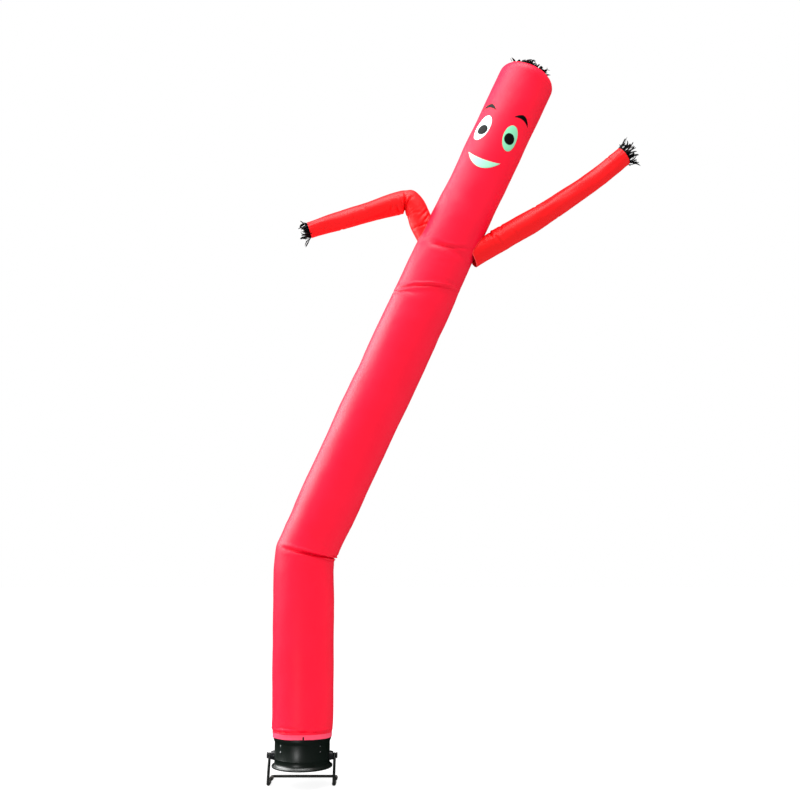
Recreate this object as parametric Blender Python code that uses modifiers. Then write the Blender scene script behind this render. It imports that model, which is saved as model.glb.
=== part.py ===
"""Inflatable air dancer on its blower, standing in a light wind, in metres, +Z up, front at -Y.

A cloth sleeve rises from a round axial blower, kinks at the knee, leans to +X and ends in a domed head
with an open vent. Two open arm sleeves are sewn to its sides. Fringe is sewn inside the vent and inside
both hand hems, and cut-out cloth shapes make a plain smiling face. The blower stands on a bent tube.
Heights and distances are counted from the blower's axis at floor level.
"""

import math
from collections import namedtuple

import bmesh
import bpy
from mathutils import Matrix, Vector

# Cloth
CLOTH = 0.002  # thickness of the coated nylon
PATCH = 0.0015  # thickness of a face patch
GAP = 0.0003  # clearance between pieces that touch
BLOWER_TO_CENTRE = 1.2175  # from the blower's axis to the middle of the whole object, along X
HEAD_RADIUS = 0.2318
HEAD_LEAN = 25  # degrees from upright
TRUNK_SIDES = 36
ARM_SIDES = 20

# A sleeve's rings: centre x and z, lean of the ring's plane from level towards +X and its skew to the
# sleeve's axis, in degrees, radius, and how far the cloth is tucked in at one angle round the ring.
# Angles round a ring run from 0 at +X through 90 at the front to 180 at -X.
Row = namedtuple("Row", "name x z lean skew radius tuck tuck_at")

TRUNK = [
    Row("hem edge", 0.000, 0.337, 0, 0, 0.2178, 0.000, 0),
    Row("hem fold", 0.000, 0.377, 0, 0, 0.2190, 0.000, 0),
    Row("hem puff", 0.000, 0.396, 0, 0, 0.2240, 0.000, 0),
    Row("ankle", 0.000, 0.470, 0, 0, 0.2280, 0.002, 150),
    Row("shin", -0.003, 0.900, 0, 0, 0.2310, 0.003, 60),
    Row("calf", -0.006, 1.330, 0, 0, 0.2315, 0.002, 20),
    Row("knee bulge", -0.008, 1.545, 1, 0, 0.2300, 0.003, 0),
    Row("knee foot", -0.003, 1.628, 4, 3, 0.2290, 0.005, 0),
    Row("crease foot", 0.002, 1.670, 9, 9, 0.2280, 0.014, 25),
    Row("knee crease", 0.006, 1.689, 12, 12, 0.2265, 0.036, 30),
    Row("crease lip", 0.013, 1.705, 14, 11, 0.2295, 0.004, 30),
    Row("knee top", 0.040, 1.766, 20, 4, 0.2300, 0.000, 0),
    Row("thigh", 0.079, 1.860, 24, 0, 0.2325, 0.003, 180),
    Row("hip", 0.184, 2.089, 24.3, 0, 0.2385, 0.000, 0),
    Row("hip top", 0.328, 2.399, 24.3, 0, 0.2405, 0.003, 70),
    Row("flank", 0.466, 2.712, 24.3, 0, 0.2425, 0.000, 0),
    Row("flank top", 0.614, 3.030, 24.3, 0, 0.2437, 0.003, 110),
    Row("belly", 0.796, 3.433, 24.3, 0, 0.2455, 0.000, 0),
    Row("waist foot", 0.877, 3.612, 16, 9, 0.2450, 0.002, 120),
    Row("waist crease", 0.930, 3.734, 0, 25, 0.2395, 0.009, 60),
    Row("waist lip", 0.937, 3.751, 1, 24, 0.2390, 0.001, 60),
    Row("ribs", 0.985, 3.858, 18, 7, 0.2385, 0.000, 0),
    Row("under chest", 1.055, 4.008, 25, 0, 0.2370, 0.002, 90),
    Row("chest crease", 1.074, 4.048, 25, 0, 0.2355, 0.012, 90),
    Row("over crease", 1.091, 4.084, 25, 0, 0.2360, 0.002, 75),
    Row("shoulder", 1.194, 4.305, 25, 0, 0.2345, 0.000, 0),
    Row("neck", 1.308, 4.550, HEAD_LEAN, 0, HEAD_RADIUS, 0.003, 175),
    Row("cheek", 1.462, 4.880, HEAD_LEAN, 0, HEAD_RADIUS, 0.000, 0),
    Row("brow", 1.626, 5.232, HEAD_LEAN, 0, HEAD_RADIUS, 0.000, 0),
    Row("crown foot", 1.761, 5.522, HEAD_LEAN, 0, 0.2310, 0.000, 0),
]
DOME_RISE = 0.080
DOME_STEPS = 5
DOME_FULLNESS = 0.6  # under 1 gives squarer shoulders
VENT_RADIUS = 0.134

SLIT_WIDTH = 0.010
SLIT_HEIGHT = 0.040  # from the hem's edge, at the front
SLIT_X = 0.025

ARM_RIGHT = [
    Row("root", 1.290, 4.041, 61, 0, 0.1010, 0.000, 0),
    Row("shoulder crease", 1.470, 4.144, 60, 0, 0.0985, 0.006, 180),
    Row("upper arm", 1.525, 4.175, 59, 0, 0.1000, 0.000, 0),
    Row("upper arm top", 1.725, 4.290, 57.5, 0, 0.0975, 0.000, 0),
    Row("elbow", 1.904, 4.407, 55.5, 0, 0.0925, 0.003, 0),
    Row("forearm", 2.156, 4.578, 53.5, 0, 0.0870, 0.000, 0),
    Row("wrist", 2.366, 4.735, 52, 0, 0.0820, 0.003, 180),
    Row("hand hem", 2.5475, 4.886, 51.7, 0, 0.0787, 0.000, 0),
]
ARM_LEFT = [
    Row("root", 1.010, 4.100, -27, 0, 0.0990, 0.000, 0),
    Row("armpit fold", 0.915, 4.280, -27, 0, 0.0990, 0.005, 60),
    Row("upper arm", 0.888, 4.335, -28, 0, 0.0985, 0.000, 0),
    Row("elbow heel", 0.845, 4.440, -45, 9, 0.0980, 0.000, 0),
    Row("elbow top", 0.790, 4.499, -75, 8, 0.0985, 0.004, 180),
    Row("elbow crease", 0.765, 4.499, -88, 10, 0.0915, 0.014, 180),
    Row("crease lip", 0.738, 4.491, -97, 6, 0.0960, 0.002, 180),
    Row("forearm", 0.660, 4.470, -106, 0, 0.0935, 0.000, 0),
    Row("mid forearm", 0.482, 4.414, -107.7, 0, 0.0855, 0.002, 0),
    Row("wrist", 0.188, 4.3235, -108, 0, 0.0757, 0.000, 0),
    Row("hand hem", -0.0065, 4.2575, -107, 0, 0.0652, 0.000, 0),
]
HOLE_MARGIN = 0.012  # the sleeve's seam allowance round an arm hole in the trunk

# Fringe: strands on one band, free length of the shortest and longest, how far the tips curl over in
# degrees, how far all lean to the side as a share of their length, how far the hem's inner edge lies
# inside its ring (a wall's thickness at a hand, almost nothing at the nearly level vent), and a seed.
Fringe = namedtuple("Fringe", "name strands shortest longest curl lean_side inset seed")
HEAD_FRINGE = Fringe("fringe_head", 34, 0.045, 0.090, 80, 0.25, 0.0006, 3)
RIGHT_FRINGE = Fringe("fringe_hand_right", 16, 0.070, 0.130, 55, 0.20, CLOTH, 5)
LEFT_FRINGE = Fringe("fringe_hand_left", 14, 0.045, 0.095, 60, 0.20, CLOTH, 8)
STRAND_STEPS = 3
STRAND_TAPER = 0.9  # width kept at each step of a strand
TIP_TAPER = 0.6  # width kept at its last step
INWARD_SHARE = 0.38  # the share of strands that curl inwards
INWARD_CURL = -0.45
BAND_HEIGHT = 0.014
BAND_PROUD = 0.003  # how far a band shows above its hem
BAND_THICK = 0.0016

# Face, on the head's straight run: angle round the sleeve and height along it from the neck point
NECK_X, NECK_Z = 1.249, 4.423
FACE_LIFT = 0.0006  # from the sleeve's skin to the underside of a face patch
EYE_LIFT = FACE_LIFT + PATCH + GAP  # the same for what lies on an eye
OVAL_LEVELS = (0.36, 0.7, 1.0)
Oval = namedtuple("Oval", "name angle along half_width half_height tilt spokes lift material")
OVALS = [
    Oval("eye_left", 127.5, 0.628, 0.066, 0.115, -3, 20, FACE_LIFT, "white_nylon"),
    Oval("eye_right", 65.0, 0.626, 0.063, 0.109, 7, 20, FACE_LIFT, "mint_nylon"),
    Oval("pupil_left", 125.5, 0.610, 0.045, 0.045, 0, 16, EYE_LIFT, "black_nylon"),
    Oval("pupil_right", 66.0, 0.617, 0.045, 0.047, 0, 16, EYE_LIFT, "black_nylon"),
]
# A crescent's ends sit at its half angle either side of the middle. Its edges bow from the line of its
# ends, and the ends themselves are cut blunt.
CRESCENT_STEPS = 12
CRESCENT_LAYERS = 3
BLUNT_END = 0.002
Crescent = namedtuple("Crescent", "name angle half_angle along bow_upper bow_lower material")
CRESCENTS = [
    Crescent("brow_left", 134.5, 18.5, 0.800, 0.052, 0.018, "black_nylon"),
    Crescent("brow_right", 57.0, 19.0, 0.800, 0.052, 0.018, "black_nylon"),
    Crescent("mouth", 97.0, 36.0, 0.400, -0.034, -0.104, "mint_nylon"),
]

# Blower drum: one sheet turned round the axis, its rim flared for the hem and its foot flanged
BARREL_RADIUS = 0.204
FLARE_RADIUS = 0.214
FLANGE_RADIUS = 0.2235
DRUM_WALL = 0.003
DRUM_SIDES = 32
Rim = namedtuple("Rim", "radius height")
DRUM_OUTSIDE = [
    Rim(FLARE_RADIUS - 0.001, 0.368),
    Rim(FLARE_RADIUS, 0.365),
    Rim(FLARE_RADIUS, 0.334),
    Rim(0.2085, 0.319),
    Rim(BARREL_RADIUS, 0.309),
    Rim(BARREL_RADIUS, 0.165),
    Rim(0.2085, 0.152),
    Rim(FLANGE_RADIUS, 0.141),
    Rim(FLANGE_RADIUS, 0.130),
]
DRUM_INSIDE = [
    Rim(FLANGE_RADIUS - DRUM_WALL, 0.130),
    Rim(FLANGE_RADIUS - DRUM_WALL, 0.139),
    Rim(0.2065, 0.149),
    Rim(BARREL_RADIUS - DRUM_WALL, 0.163),
    Rim(BARREL_RADIUS - DRUM_WALL, 0.311),
    Rim(FLARE_RADIUS - DRUM_WALL, 0.336),
    Rim(FLARE_RADIUS - DRUM_WALL, 0.368),
]

# Motor on its struts, riveted through the drum
MOTOR_RADIUS = 0.072
MOTOR_BOTTOM = 0.215
MOTOR_TOP = 0.332
MOTOR_RIM = 0.006
STRUT_ANGLES = (45, 135, 225, 315)
STRUT_HEIGHT = 0.066
STRUT_THICK = 0.004
RIVET_HEIGHTS = (0.256, 0.299)
RIVET_RADIUS = 0.0055
RIVET_HEAD = 0.003

# Fan under the motor
HUB_RADIUS = 0.046
HUB_HEIGHT = 0.040
HUB_RIM = 0.004
BLADES = 6
BLADE_START = 15
BLADE_TIP = 0.192
BLADE_INSIDE_HUB = 0.010
BLADE_CHORD = 0.062
BLADE_THICK = 0.003
BLADE_PITCH = 32

# Inlet guard: three crossed bars with rings on them
GUARD_Z = 0.164
GUARD_TURN = 10
GUARD_BARS = 3
GUARD_BAR = 0.005
GUARD_RINGS = (0.055, 0.100, 0.145)
GUARD_WIRE = 0.003
GUARD_RING_LIFT = 0.0007  # the rings sit a little above the bars' middle

# Stand: one tube bent into two legs, two skids and a rear bar
TUBE_RADIUS = 0.0105
TUBE_BEND = 0.022
BEND_STEPS = 4
LEG_X = 0.2405
LEG_TOP_Z = 0.226
LEG_FOOT_Y = -0.080
REAR_BAR_Y = 0.205
FOOT_RADIUS = 0.0155
FOOT_WALL = 0.0042
FOOT_LENGTH = 0.060
FOOT_SIDES = 12
FRONT_FOOT_Y = -0.045
REAR_FOOT_Y = 0.118
SKID_Z = FOOT_RADIUS * math.cos(math.pi / FOOT_SIDES)  # the skids' height when the feet rest flat

# Pivot between drum and leg, and the empty gland in the drum's back
PIVOT_Z = 0.207
PIVOT_RIM = 0.003
BOSS_RADIUS = 0.034
CAP_RADIUS = 0.022
CAP_HEIGHT = 0.010
GLAND_OUTLINE = [
    Rim(0.0070, 0.022),
    Rim(0.0095, 0.020),
    Rim(0.0095, 0.010),
    Rim(0.0130, 0.009),
    Rim(0.0130, 0.000),
    Rim(0.0040, 0.000),
    Rim(0.0040, 0.022),
]

Finish = namedtuple("Finish", "colour roughness metallic")
FINISHES = {
    "red_nylon": Finish((0.86, 0.02, 0.06, 1), 0.45, 0.0),
    "orange_red_nylon": Finish((0.88, 0.03, 0.02, 1), 0.45, 0.0),
    "black_nylon": Finish((0.01, 0.01, 0.012, 1), 0.5, 0.0),
    "white_nylon": Finish((0.85, 0.87, 0.87, 1), 0.5, 0.0),
    "mint_nylon": Finish((0.42, 0.85, 0.62, 1), 0.5, 0.0),
    "black_paint": Finish((0.01, 0.011, 0.012, 1), 0.3, 0.0),
    "black_plastic": Finish((0.012, 0.013, 0.015, 1), 0.35, 0.0),
    "zinc_steel": Finish((0.62, 0.64, 0.66, 1), 0.35, 1.0),
    "grey_iron": Finish((0.09, 0.09, 0.095, 1), 0.5, 0.6),
    "black_rubber": Finish((0.015, 0.015, 0.015, 1), 0.8, 0.0),
}


def clear_scene():
    for old in list(bpy.data.objects):
        bpy.data.objects.remove(old)


def new_collection(name, hidden):
    collection = bpy.data.collections.new(name)
    collection.hide_render = hidden
    bpy.context.scene.collection.children.link(collection)
    return collection


def finish_material(name):
    if name in bpy.data.materials:
        return bpy.data.materials[name]
    finish = FINISHES[name]
    material = bpy.data.materials.new(name)
    material.use_nodes = True
    shader = material.node_tree.nodes["Principled BSDF"]
    shader.inputs["Base Color"].default_value = finish.colour
    shader.inputs["Roughness"].default_value = finish.roughness
    shader.inputs["Metallic"].default_value = finish.metallic
    return material


def add_object(name, data, material):
    """Puts an object on the blower's axis frame, among the parts."""
    obj = bpy.data.objects.new(name, data)
    PARTS.objects.link(obj)
    obj.parent = BLOWER_AXIS
    data.materials.append(finish_material(material))
    return obj


def as_cutter(obj):
    """Takes a helper out of the parts, to be used by Booleans only."""
    PARTS.objects.unlink(obj)
    CUTTERS.objects.link(obj)
    obj.hide_render = True
    obj.display_type = "WIRE"
    return obj


def mesh_object(name, bm, material):
    mesh = bpy.data.meshes.new(name)
    bm.to_mesh(mesh)
    bm.free()
    return add_object(name, mesh, material)


def round_shading(obj, angle=40):
    obj.data.shade_smooth()
    obj.data.set_sharp_from_angle(angle=math.radians(angle))


def boolean(obj, operation, other):
    cut = obj.modifiers.new(other.name, "BOOLEAN")
    cut.operation = operation
    cut.solver = "EXACT"
    cut.object = other


def solidify(obj, thickness):
    """Gives a skin its thickness on the inner side."""
    wall = obj.modifiers.new("Wall", "SOLIDIFY")
    wall.thickness = thickness
    wall.offset = -1
    wall.use_even_offset = True


def vary(index, seed):
    """A repeatable number from 0 to 1 for each index and seed."""
    wave = math.sin(index * 12.9898 + seed * 78.233) * 43758.5453
    return wave - math.floor(wave)


def axis_of(lean):
    lean = math.radians(lean)
    return Vector((math.sin(lean), 0, math.cos(lean)))


def across_of(lean):
    lean = math.radians(lean)
    return Vector((math.cos(lean), 0, -math.sin(lean)))


def ring_points(row, sides, extra=0.0):
    """The points of one ring of a sleeve, drawn in round tuck_at by tuck."""
    across = across_of(row.lean) / math.cos(math.radians(row.skew))
    points = []
    for i in range(sides):
        angle = math.tau * i / sides
        near = max(0.0, math.cos(angle - math.radians(row.tuck_at)))
        radius = row.radius + extra - row.tuck * near**2
        offset = across * radius * math.cos(angle) - Vector((0, radius * math.sin(angle), 0))
        points.append(Vector((row.x, 0, row.z)) + offset)
    return points


def loft(name, rows, sides, material, extra=0.0, capped=False):
    """A tube through unlike rings, facing out, open at both ends unless capped."""
    bm = bmesh.new()
    rings = [[bm.verts.new(point) for point in ring_points(row, sides, extra)] for row in rows]
    for low, high in zip(rings, rings[1:]):
        for i in range(sides):
            j = (i + 1) % sides
            bm.faces.new((low[i], high[i], high[j], low[j]))
    if capped:
        bm.faces.new(rings[0])
        bm.faces.new(rings[-1][::-1])
    obj = mesh_object(name, bm, material)
    round_shading(obj)
    return obj


def dome_rows(foot):
    """Rings that close the head in from its last straight ring to the vent."""
    rows = []
    for step in range(1, DOME_STEPS + 1):
        turn = math.pi / 2 * step / DOME_STEPS
        centre = Vector((foot.x, 0, foot.z)) + axis_of(foot.lean) * DOME_RISE * math.sin(turn)
        inward = math.cos(turn) ** DOME_FULLNESS if step < DOME_STEPS else 0.0
        radius = VENT_RADIUS + (foot.radius - VENT_RADIUS) * inward
        rows.append(Row("dome", centre.x, centre.z, foot.lean, 0, radius, 0, 0))
    return rows


def build_trunk():
    rows = TRUNK + dome_rows(TRUNK[-1])
    trunk = loft("trunk_sleeve", rows, TRUNK_SIDES, "red_nylon")
    solidify(trunk, CLOTH)
    for side, arm in (("left", ARM_LEFT), ("right", ARM_RIGHT)):
        name = f"arm_hole_{side}"
        hole = loft(name, arm[:3], ARM_SIDES, "red_nylon", extra=-HOLE_MARGIN, capped=True)
        boolean(trunk, "DIFFERENCE", as_cutter(hole))
    slit = box("hem_slit", (SLIT_WIDTH, 30 * CLOTH, 2 * SLIT_HEIGHT), "red_nylon")
    slit.location = (SLIT_X, -TRUNK[0].radius, TRUNK[0].z)
    boolean(trunk, "DIFFERENCE", as_cutter(slit))


def build_arms():
    names = [row.name for row in TRUNK]
    chest = TRUNK[names.index("ribs") : names.index("cheek") + 1]
    core = as_cutter(loft("trunk_core", chest, TRUNK_SIDES, "red_nylon", extra=GAP, capped=True))
    for side, rows in (("left", ARM_LEFT), ("right", ARM_RIGHT)):
        arm = loft(f"arm_sleeve_{side}", rows, ARM_SIDES, "orange_red_nylon")
        solidify(arm, CLOTH)
        boolean(arm, "DIFFERENCE", core)


def build_fringe(fringe, hem, hem_sides):
    """A narrow band just inside a hem, with a strand standing on every second of its blocks."""
    blocks = 2 * fringe.strands
    axis = axis_of(hem.lean)
    across = across_of(hem.lean)
    centre = Vector((hem.x, 0, hem.z))
    outer = (hem.radius - fringe.inset) * math.cos(math.pi / hem_sides) - GAP
    inner = outer - BAND_THICK
    corners = [(inner, -BAND_HEIGHT), (outer, -BAND_HEIGHT), (outer, BAND_PROUD), (inner, BAND_PROUD)]
    bm = bmesh.new()
    columns = []
    for i in range(blocks):
        angle = math.tau * i / blocks
        away = across * math.cos(angle) - Vector((0, math.sin(angle), 0))
        columns.append([bm.verts.new(centre + away * r + axis * h) for r, h in corners])
    tops = []
    for i, column in enumerate(columns):
        following = columns[(i + 1) % blocks]
        for side in range(len(corners)):
            up = (side + 1) % len(corners)
            face = bm.faces.new((column[side], column[up], following[up], following[side]))
            if side == 2 and i % 2 == 0:
                tops.append((i, face))
    bmesh.ops.recalc_face_normals(bm, faces=bm.faces[:])
    for i, face in tops:
        grow_strand(bm, face, centre, axis, fringe, i)
    return mesh_object(fringe.name, bm, "black_nylon")


def grow_strand(bm, face, centre, axis, fringe, index):
    """Extrudes one block's top into a flat lock that rises, curls and narrows to its tip."""
    away = face.calc_center_median() - centre
    away = (away - axis * away.dot(axis)).normalized()
    sideways = axis.cross(away)
    length = fringe.shortest + (fringe.longest - fringe.shortest) * vary(index, fringe.seed)
    curl = math.radians(fringe.curl) * (0.25 + 0.75 * vary(index, fringe.seed + 1))
    if vary(index, fringe.seed + 2) > 1 - INWARD_SHARE:
        curl *= INWARD_CURL
    sway = fringe.lean_side * math.sin(math.tau * index / fringe.strands + fringe.seed)
    for step in range(STRAND_STEPS):
        face = bmesh.ops.extrude_discrete_faces(bm, faces=[face])["faces"][0]
        bend = curl * (step / (STRAND_STEPS - 1)) ** 1.2
        move = axis * math.cos(bend) + away * math.sin(bend) + sideways * sway * step / STRAND_STEPS
        bmesh.ops.translate(bm, verts=face.verts, vec=move * length / STRAND_STEPS)
        taper = STRAND_TAPER if step < STRAND_STEPS - 1 else TIP_TAPER
        pivot = face.calc_center_median()
        for vert in face.verts:
            vert.co = pivot + (vert.co - pivot) * taper


def head_point(angle, along, radius):
    """A point on the head's straight run, at an angle round it and a height along it."""
    angle = math.radians(angle)
    away = across_of(HEAD_LEAN) * math.cos(angle) - Vector((0, math.sin(angle), 0))
    return Vector((NECK_X, 0, NECK_Z)) + axis_of(HEAD_LEAN) * along + away * radius


def oval_patch(oval):
    """An oval of cloth that follows the head's curve: rings of spokes about its middle."""
    radius = HEAD_RADIUS + oval.lift + PATCH
    tilt = math.radians(oval.tilt)
    bm = bmesh.new()

    def place(level, turn):
        wide = oval.half_width * level * math.cos(turn)
        high = oval.half_height * level * math.sin(turn)
        side = wide * math.cos(tilt) - high * math.sin(tilt)
        rise = wide * math.sin(tilt) + high * math.cos(tilt)
        angle = oval.angle - math.degrees(side / HEAD_RADIUS)
        return bm.verts.new(head_point(angle, oval.along + rise, radius))

    middle = place(0.0, 0.0)
    turns = [math.tau * i / oval.spokes for i in range(oval.spokes)]
    rings = [[place(level, turn) for turn in turns] for level in OVAL_LEVELS]
    for i in range(oval.spokes):
        j = (i + 1) % oval.spokes
        bm.faces.new((middle, rings[0][i], rings[0][j]))
        for inner, outer in zip(rings, rings[1:]):
            bm.faces.new((inner[i], outer[i], outer[j], inner[j]))
    solidify(mesh_object(oval.name, bm, oval.material), PATCH)


def crescent_patch(crescent):
    """A crescent of cloth between two bowed edges."""
    radius = HEAD_RADIUS + FACE_LIFT + PATCH
    bm = bmesh.new()
    columns = []
    for i in range(CRESCENT_STEPS + 1):
        turn = 2 * i / CRESCENT_STEPS - 1
        belly = 1 - turn * turn
        angle = crescent.angle - crescent.half_angle * turn
        upper = crescent.bow_upper * belly + BLUNT_END
        lower = crescent.bow_lower * belly - BLUNT_END
        column = []
        for layer in range(CRESCENT_LAYERS + 1):
            rise = lower + (upper - lower) * layer / CRESCENT_LAYERS
            column.append(bm.verts.new(head_point(angle, crescent.along + rise, radius)))
        columns.append(column)
    for left, right in zip(columns, columns[1:]):
        for k in range(CRESCENT_LAYERS):
            bm.faces.new((left[k], right[k], right[k + 1], left[k + 1]))
    solidify(mesh_object(crescent.name, bm, crescent.material), PATCH)


def turned(name, outline, sides, material):
    """A closed outline of rims turned round Z, its outer side listed downwards."""
    mesh = bpy.data.meshes.new(name)
    points = [(rim.radius, 0, rim.height) for rim in outline]
    edges = [(i, (i + 1) % len(points)) for i in range(len(points))]
    mesh.from_pydata(points, edges, [])
    obj = add_object(name, mesh, material)
    spin = obj.modifiers.new("Turn", "SCREW")
    spin.angle = math.tau
    spin.steps = sides
    spin.render_steps = sides
    spin.use_merge_vertices = True
    spin.merge_threshold = 0.0001
    return obj


def cylinder(name, radius, height, sides, material, bevel=0.0):
    """A solid cylinder on Z, standing on its base, its rims bevelled when a bevel is given."""
    bm = bmesh.new()
    bmesh.ops.create_cone(
        bm, cap_ends=True, segments=sides, radius1=radius, radius2=radius, depth=height
    )
    bmesh.ops.translate(bm, verts=bm.verts, vec=(0, 0, height / 2))
    obj = mesh_object(name, bm, material)
    round_shading(obj)
    if bevel:
        rim = obj.modifiers.new("Rim", "BEVEL")
        rim.width = bevel
        rim.segments = 1
        rim.limit_method = "ANGLE"
    return obj


def box(name, size, material):
    bm = bmesh.new()
    bmesh.ops.create_cube(bm, size=1.0)
    bmesh.ops.scale(bm, vec=size, verts=bm.verts)
    return mesh_object(name, bm, material)


def polar(radius, angle, height):
    """A point round the blower's axis; the angle is in degrees, 0 at +X and -90 at the front."""
    angle = math.radians(angle)
    return Vector((radius * math.cos(angle), radius * math.sin(angle), height))


def build_drum():
    drum = turned("blower_drum", DRUM_OUTSIDE + DRUM_INSIDE, DRUM_SIDES, "black_paint")
    round_shading(drum)


def build_motor():
    height = MOTOR_TOP - MOTOR_BOTTOM
    motor = cylinder("blower_motor", MOTOR_RADIUS, height, 24, "grey_iron", MOTOR_RIM)
    motor.location = (0, 0, MOTOR_BOTTOM)
    inner = MOTOR_RADIUS + GAP
    outer = BARREL_RADIUS - DRUM_WALL - 2 * GAP
    middle = sum(RIVET_HEIGHTS) / len(RIVET_HEIGHTS)
    for n, angle in enumerate(STRUT_ANGLES, start=1):
        strut = box(f"motor_strut_{n}", (outer - inner, STRUT_THICK, STRUT_HEIGHT), "black_paint")
        strut.location = polar((inner + outer) / 2, angle, middle)
        strut.rotation_euler = (0, 0, math.radians(angle))
    places = [(angle, height) for angle in STRUT_ANGLES for height in RIVET_HEIGHTS]
    for n, (angle, height) in enumerate(places, start=1):
        rivet = cylinder(f"rivet_{n}", RIVET_RADIUS, RIVET_HEAD, 10, "zinc_steel")
        rivet.location = polar(BARREL_RADIUS + GAP, angle, height)
        rivet.rotation_euler = (0, math.pi / 2, math.radians(angle))


def build_fan():
    fan = cylinder("blower_fan", HUB_RADIUS, HUB_HEIGHT, 18, "black_plastic", HUB_RIM)
    fan.location = (0, 0, MOTOR_BOTTOM - GAP - HUB_HEIGHT)
    root = HUB_RADIUS - BLADE_INSIDE_HUB
    for n in range(BLADES):
        angle = BLADE_START + 360 / BLADES * n
        size = (BLADE_TIP - root, BLADE_CHORD, BLADE_THICK)
        blade = box(f"fan_blade_{n}", size, "black_plastic")
        blade.location = polar((BLADE_TIP + root) / 2, angle, MOTOR_BOTTOM - HUB_HEIGHT / 2)
        blade.rotation_euler = (math.radians(BLADE_PITCH), 0, math.radians(angle))
        boolean(fan, "UNION", as_cutter(blade))


def build_guard():
    wall = (BARREL_RADIUS - DRUM_WALL) * math.cos(math.pi / DRUM_SIDES)
    size = (2 * (wall - 2 * GAP), GUARD_BAR, GUARD_BAR)
    bars = []
    for n in range(GUARD_BARS):
        bar = box("inlet_guard" if n == 0 else f"guard_bar_{n}", size, "black_paint")
        bar.location = (0, 0, GUARD_Z)
        bar.rotation_euler = (0, 0, math.radians(GUARD_TURN + 180 / GUARD_BARS * n))
        bars.append(bar)
    guard = bars[0]
    for bar in bars[1:]:
        boolean(guard, "UNION", as_cutter(bar))
    for n, radius in enumerate(GUARD_RINGS):
        bpy.ops.mesh.primitive_torus_add(
            major_radius=radius, minor_radius=GUARD_WIRE, major_segments=24, minor_segments=4
        )
        made = bpy.context.object
        ring = add_object(f"guard_ring_{n}", made.data, "black_paint")
        bpy.data.objects.remove(made)
        ring.location = (0, 0, GUARD_Z + GUARD_RING_LIFT)
        boolean(guard, "UNION", as_cutter(ring))


def rounded_path(corners, radius):
    """Points along straight runs whose corners are arcs of one radius."""
    points = [corners[0]]
    for before, corner, after in zip(corners, corners[1:], corners[2:]):
        back = (before - corner).normalized()
        ahead = (after - corner).normalized()
        half = back.angle(ahead) / 2
        centre = corner + (back + ahead).normalized() * radius / math.sin(half)
        start = (corner + back * radius / math.tan(half) - centre).normalized()
        end = (corner + ahead * radius / math.tan(half) - centre).normalized()
        for step in range(BEND_STEPS + 1):
            points.append(centre + start.slerp(end, step / BEND_STEPS) * radius)
    points.append(corners[-1])
    return points


def build_stand():
    corners = []
    for side in (-1, 1):
        x = side * LEG_X
        leg = [Vector((x, 0, LEG_TOP_Z)), Vector((x, LEG_FOOT_Y, SKID_Z)), Vector((x, REAR_BAR_Y, SKID_Z))]
        corners += leg if side < 0 else leg[::-1]
    route = rounded_path(corners, TUBE_BEND)
    curve = bpy.data.curves.new("stand_tube", "CURVE")
    curve.dimensions = "3D"
    curve.bevel_depth = TUBE_RADIUS
    curve.bevel_resolution = 2
    curve.use_fill_caps = True
    spline = curve.splines.new("POLY")
    spline.points.add(len(route) - 1)
    for point, place in zip(spline.points, route):
        point.co = (*place, 1)
    add_object("stand_tube", curve, "black_paint")
    for side, word in ((-1, "left"), (1, "right")):
        for y, end in ((FRONT_FOOT_Y, "front"), (REAR_FOOT_Y, "rear")):
            foot_sleeve(f"foot_{end}_{word}", Vector((side * LEG_X, y, SKID_Z)))
        build_pivot(side, word)


def foot_sleeve(name, start):
    """A rubber sleeve on the skid, with one of its flats on the ground."""
    bm = bmesh.new()
    turn = Matrix.Rotation(math.pi / 2, 4, "X") @ Matrix.Rotation(math.pi / FOOT_SIDES, 4, "Z")
    bmesh.ops.create_circle(bm, segments=FOOT_SIDES, radius=FOOT_RADIUS, matrix=turn)
    ends = bmesh.ops.extrude_edge_only(bm, edges=bm.edges[:])["geom"]
    moved = [part for part in ends if isinstance(part, bmesh.types.BMVert)]
    bmesh.ops.translate(bm, verts=moved, vec=(0, FOOT_LENGTH, 0))
    bmesh.ops.recalc_face_normals(bm, faces=bm.faces[:])
    foot = mesh_object(name, bm, "black_rubber")
    solidify(foot, FOOT_WALL)
    foot.location = start


def build_pivot(side, word):
    """The boss between drum and leg, and the cap that clamps the leg to it."""
    inner = BARREL_RADIUS + GAP
    outer = LEG_X - TUBE_RADIUS - GAP
    name = f"pivot_boss_{word}"
    boss = cylinder(name, BOSS_RADIUS, outer - inner, 20, "black_plastic", PIVOT_RIM)
    boss.location = (side * inner, 0, PIVOT_Z)
    boss.rotation_euler = (0, side * math.pi / 2, 0)
    cap = cylinder(f"pivot_cap_{word}", CAP_RADIUS, CAP_HEIGHT, 16, "black_plastic", PIVOT_RIM)
    cap.location = (side * (LEG_X + TUBE_RADIUS + GAP), 0, PIVOT_Z)
    cap.rotation_euler = (0, side * math.pi / 2, 0)


def build_gland():
    """The empty gland in the drum's back where the lead would enter."""
    gland = turned("cord_gland", GLAND_OUTLINE, 12, "black_plastic")
    gland.location = (0, BARREL_RADIUS + GAP, PIVOT_Z)
    gland.rotation_euler = (-math.pi / 2, 0, 0)


clear_scene()
PARTS = new_collection("air_dancer", hidden=False)
CUTTERS = new_collection("cutters", hidden=True)
BLOWER_AXIS = bpy.data.objects.new("blower_axis", None)
PARTS.objects.link(BLOWER_AXIS)
BLOWER_AXIS.location = (-BLOWER_TO_CENTRE, 0, 0)

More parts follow.
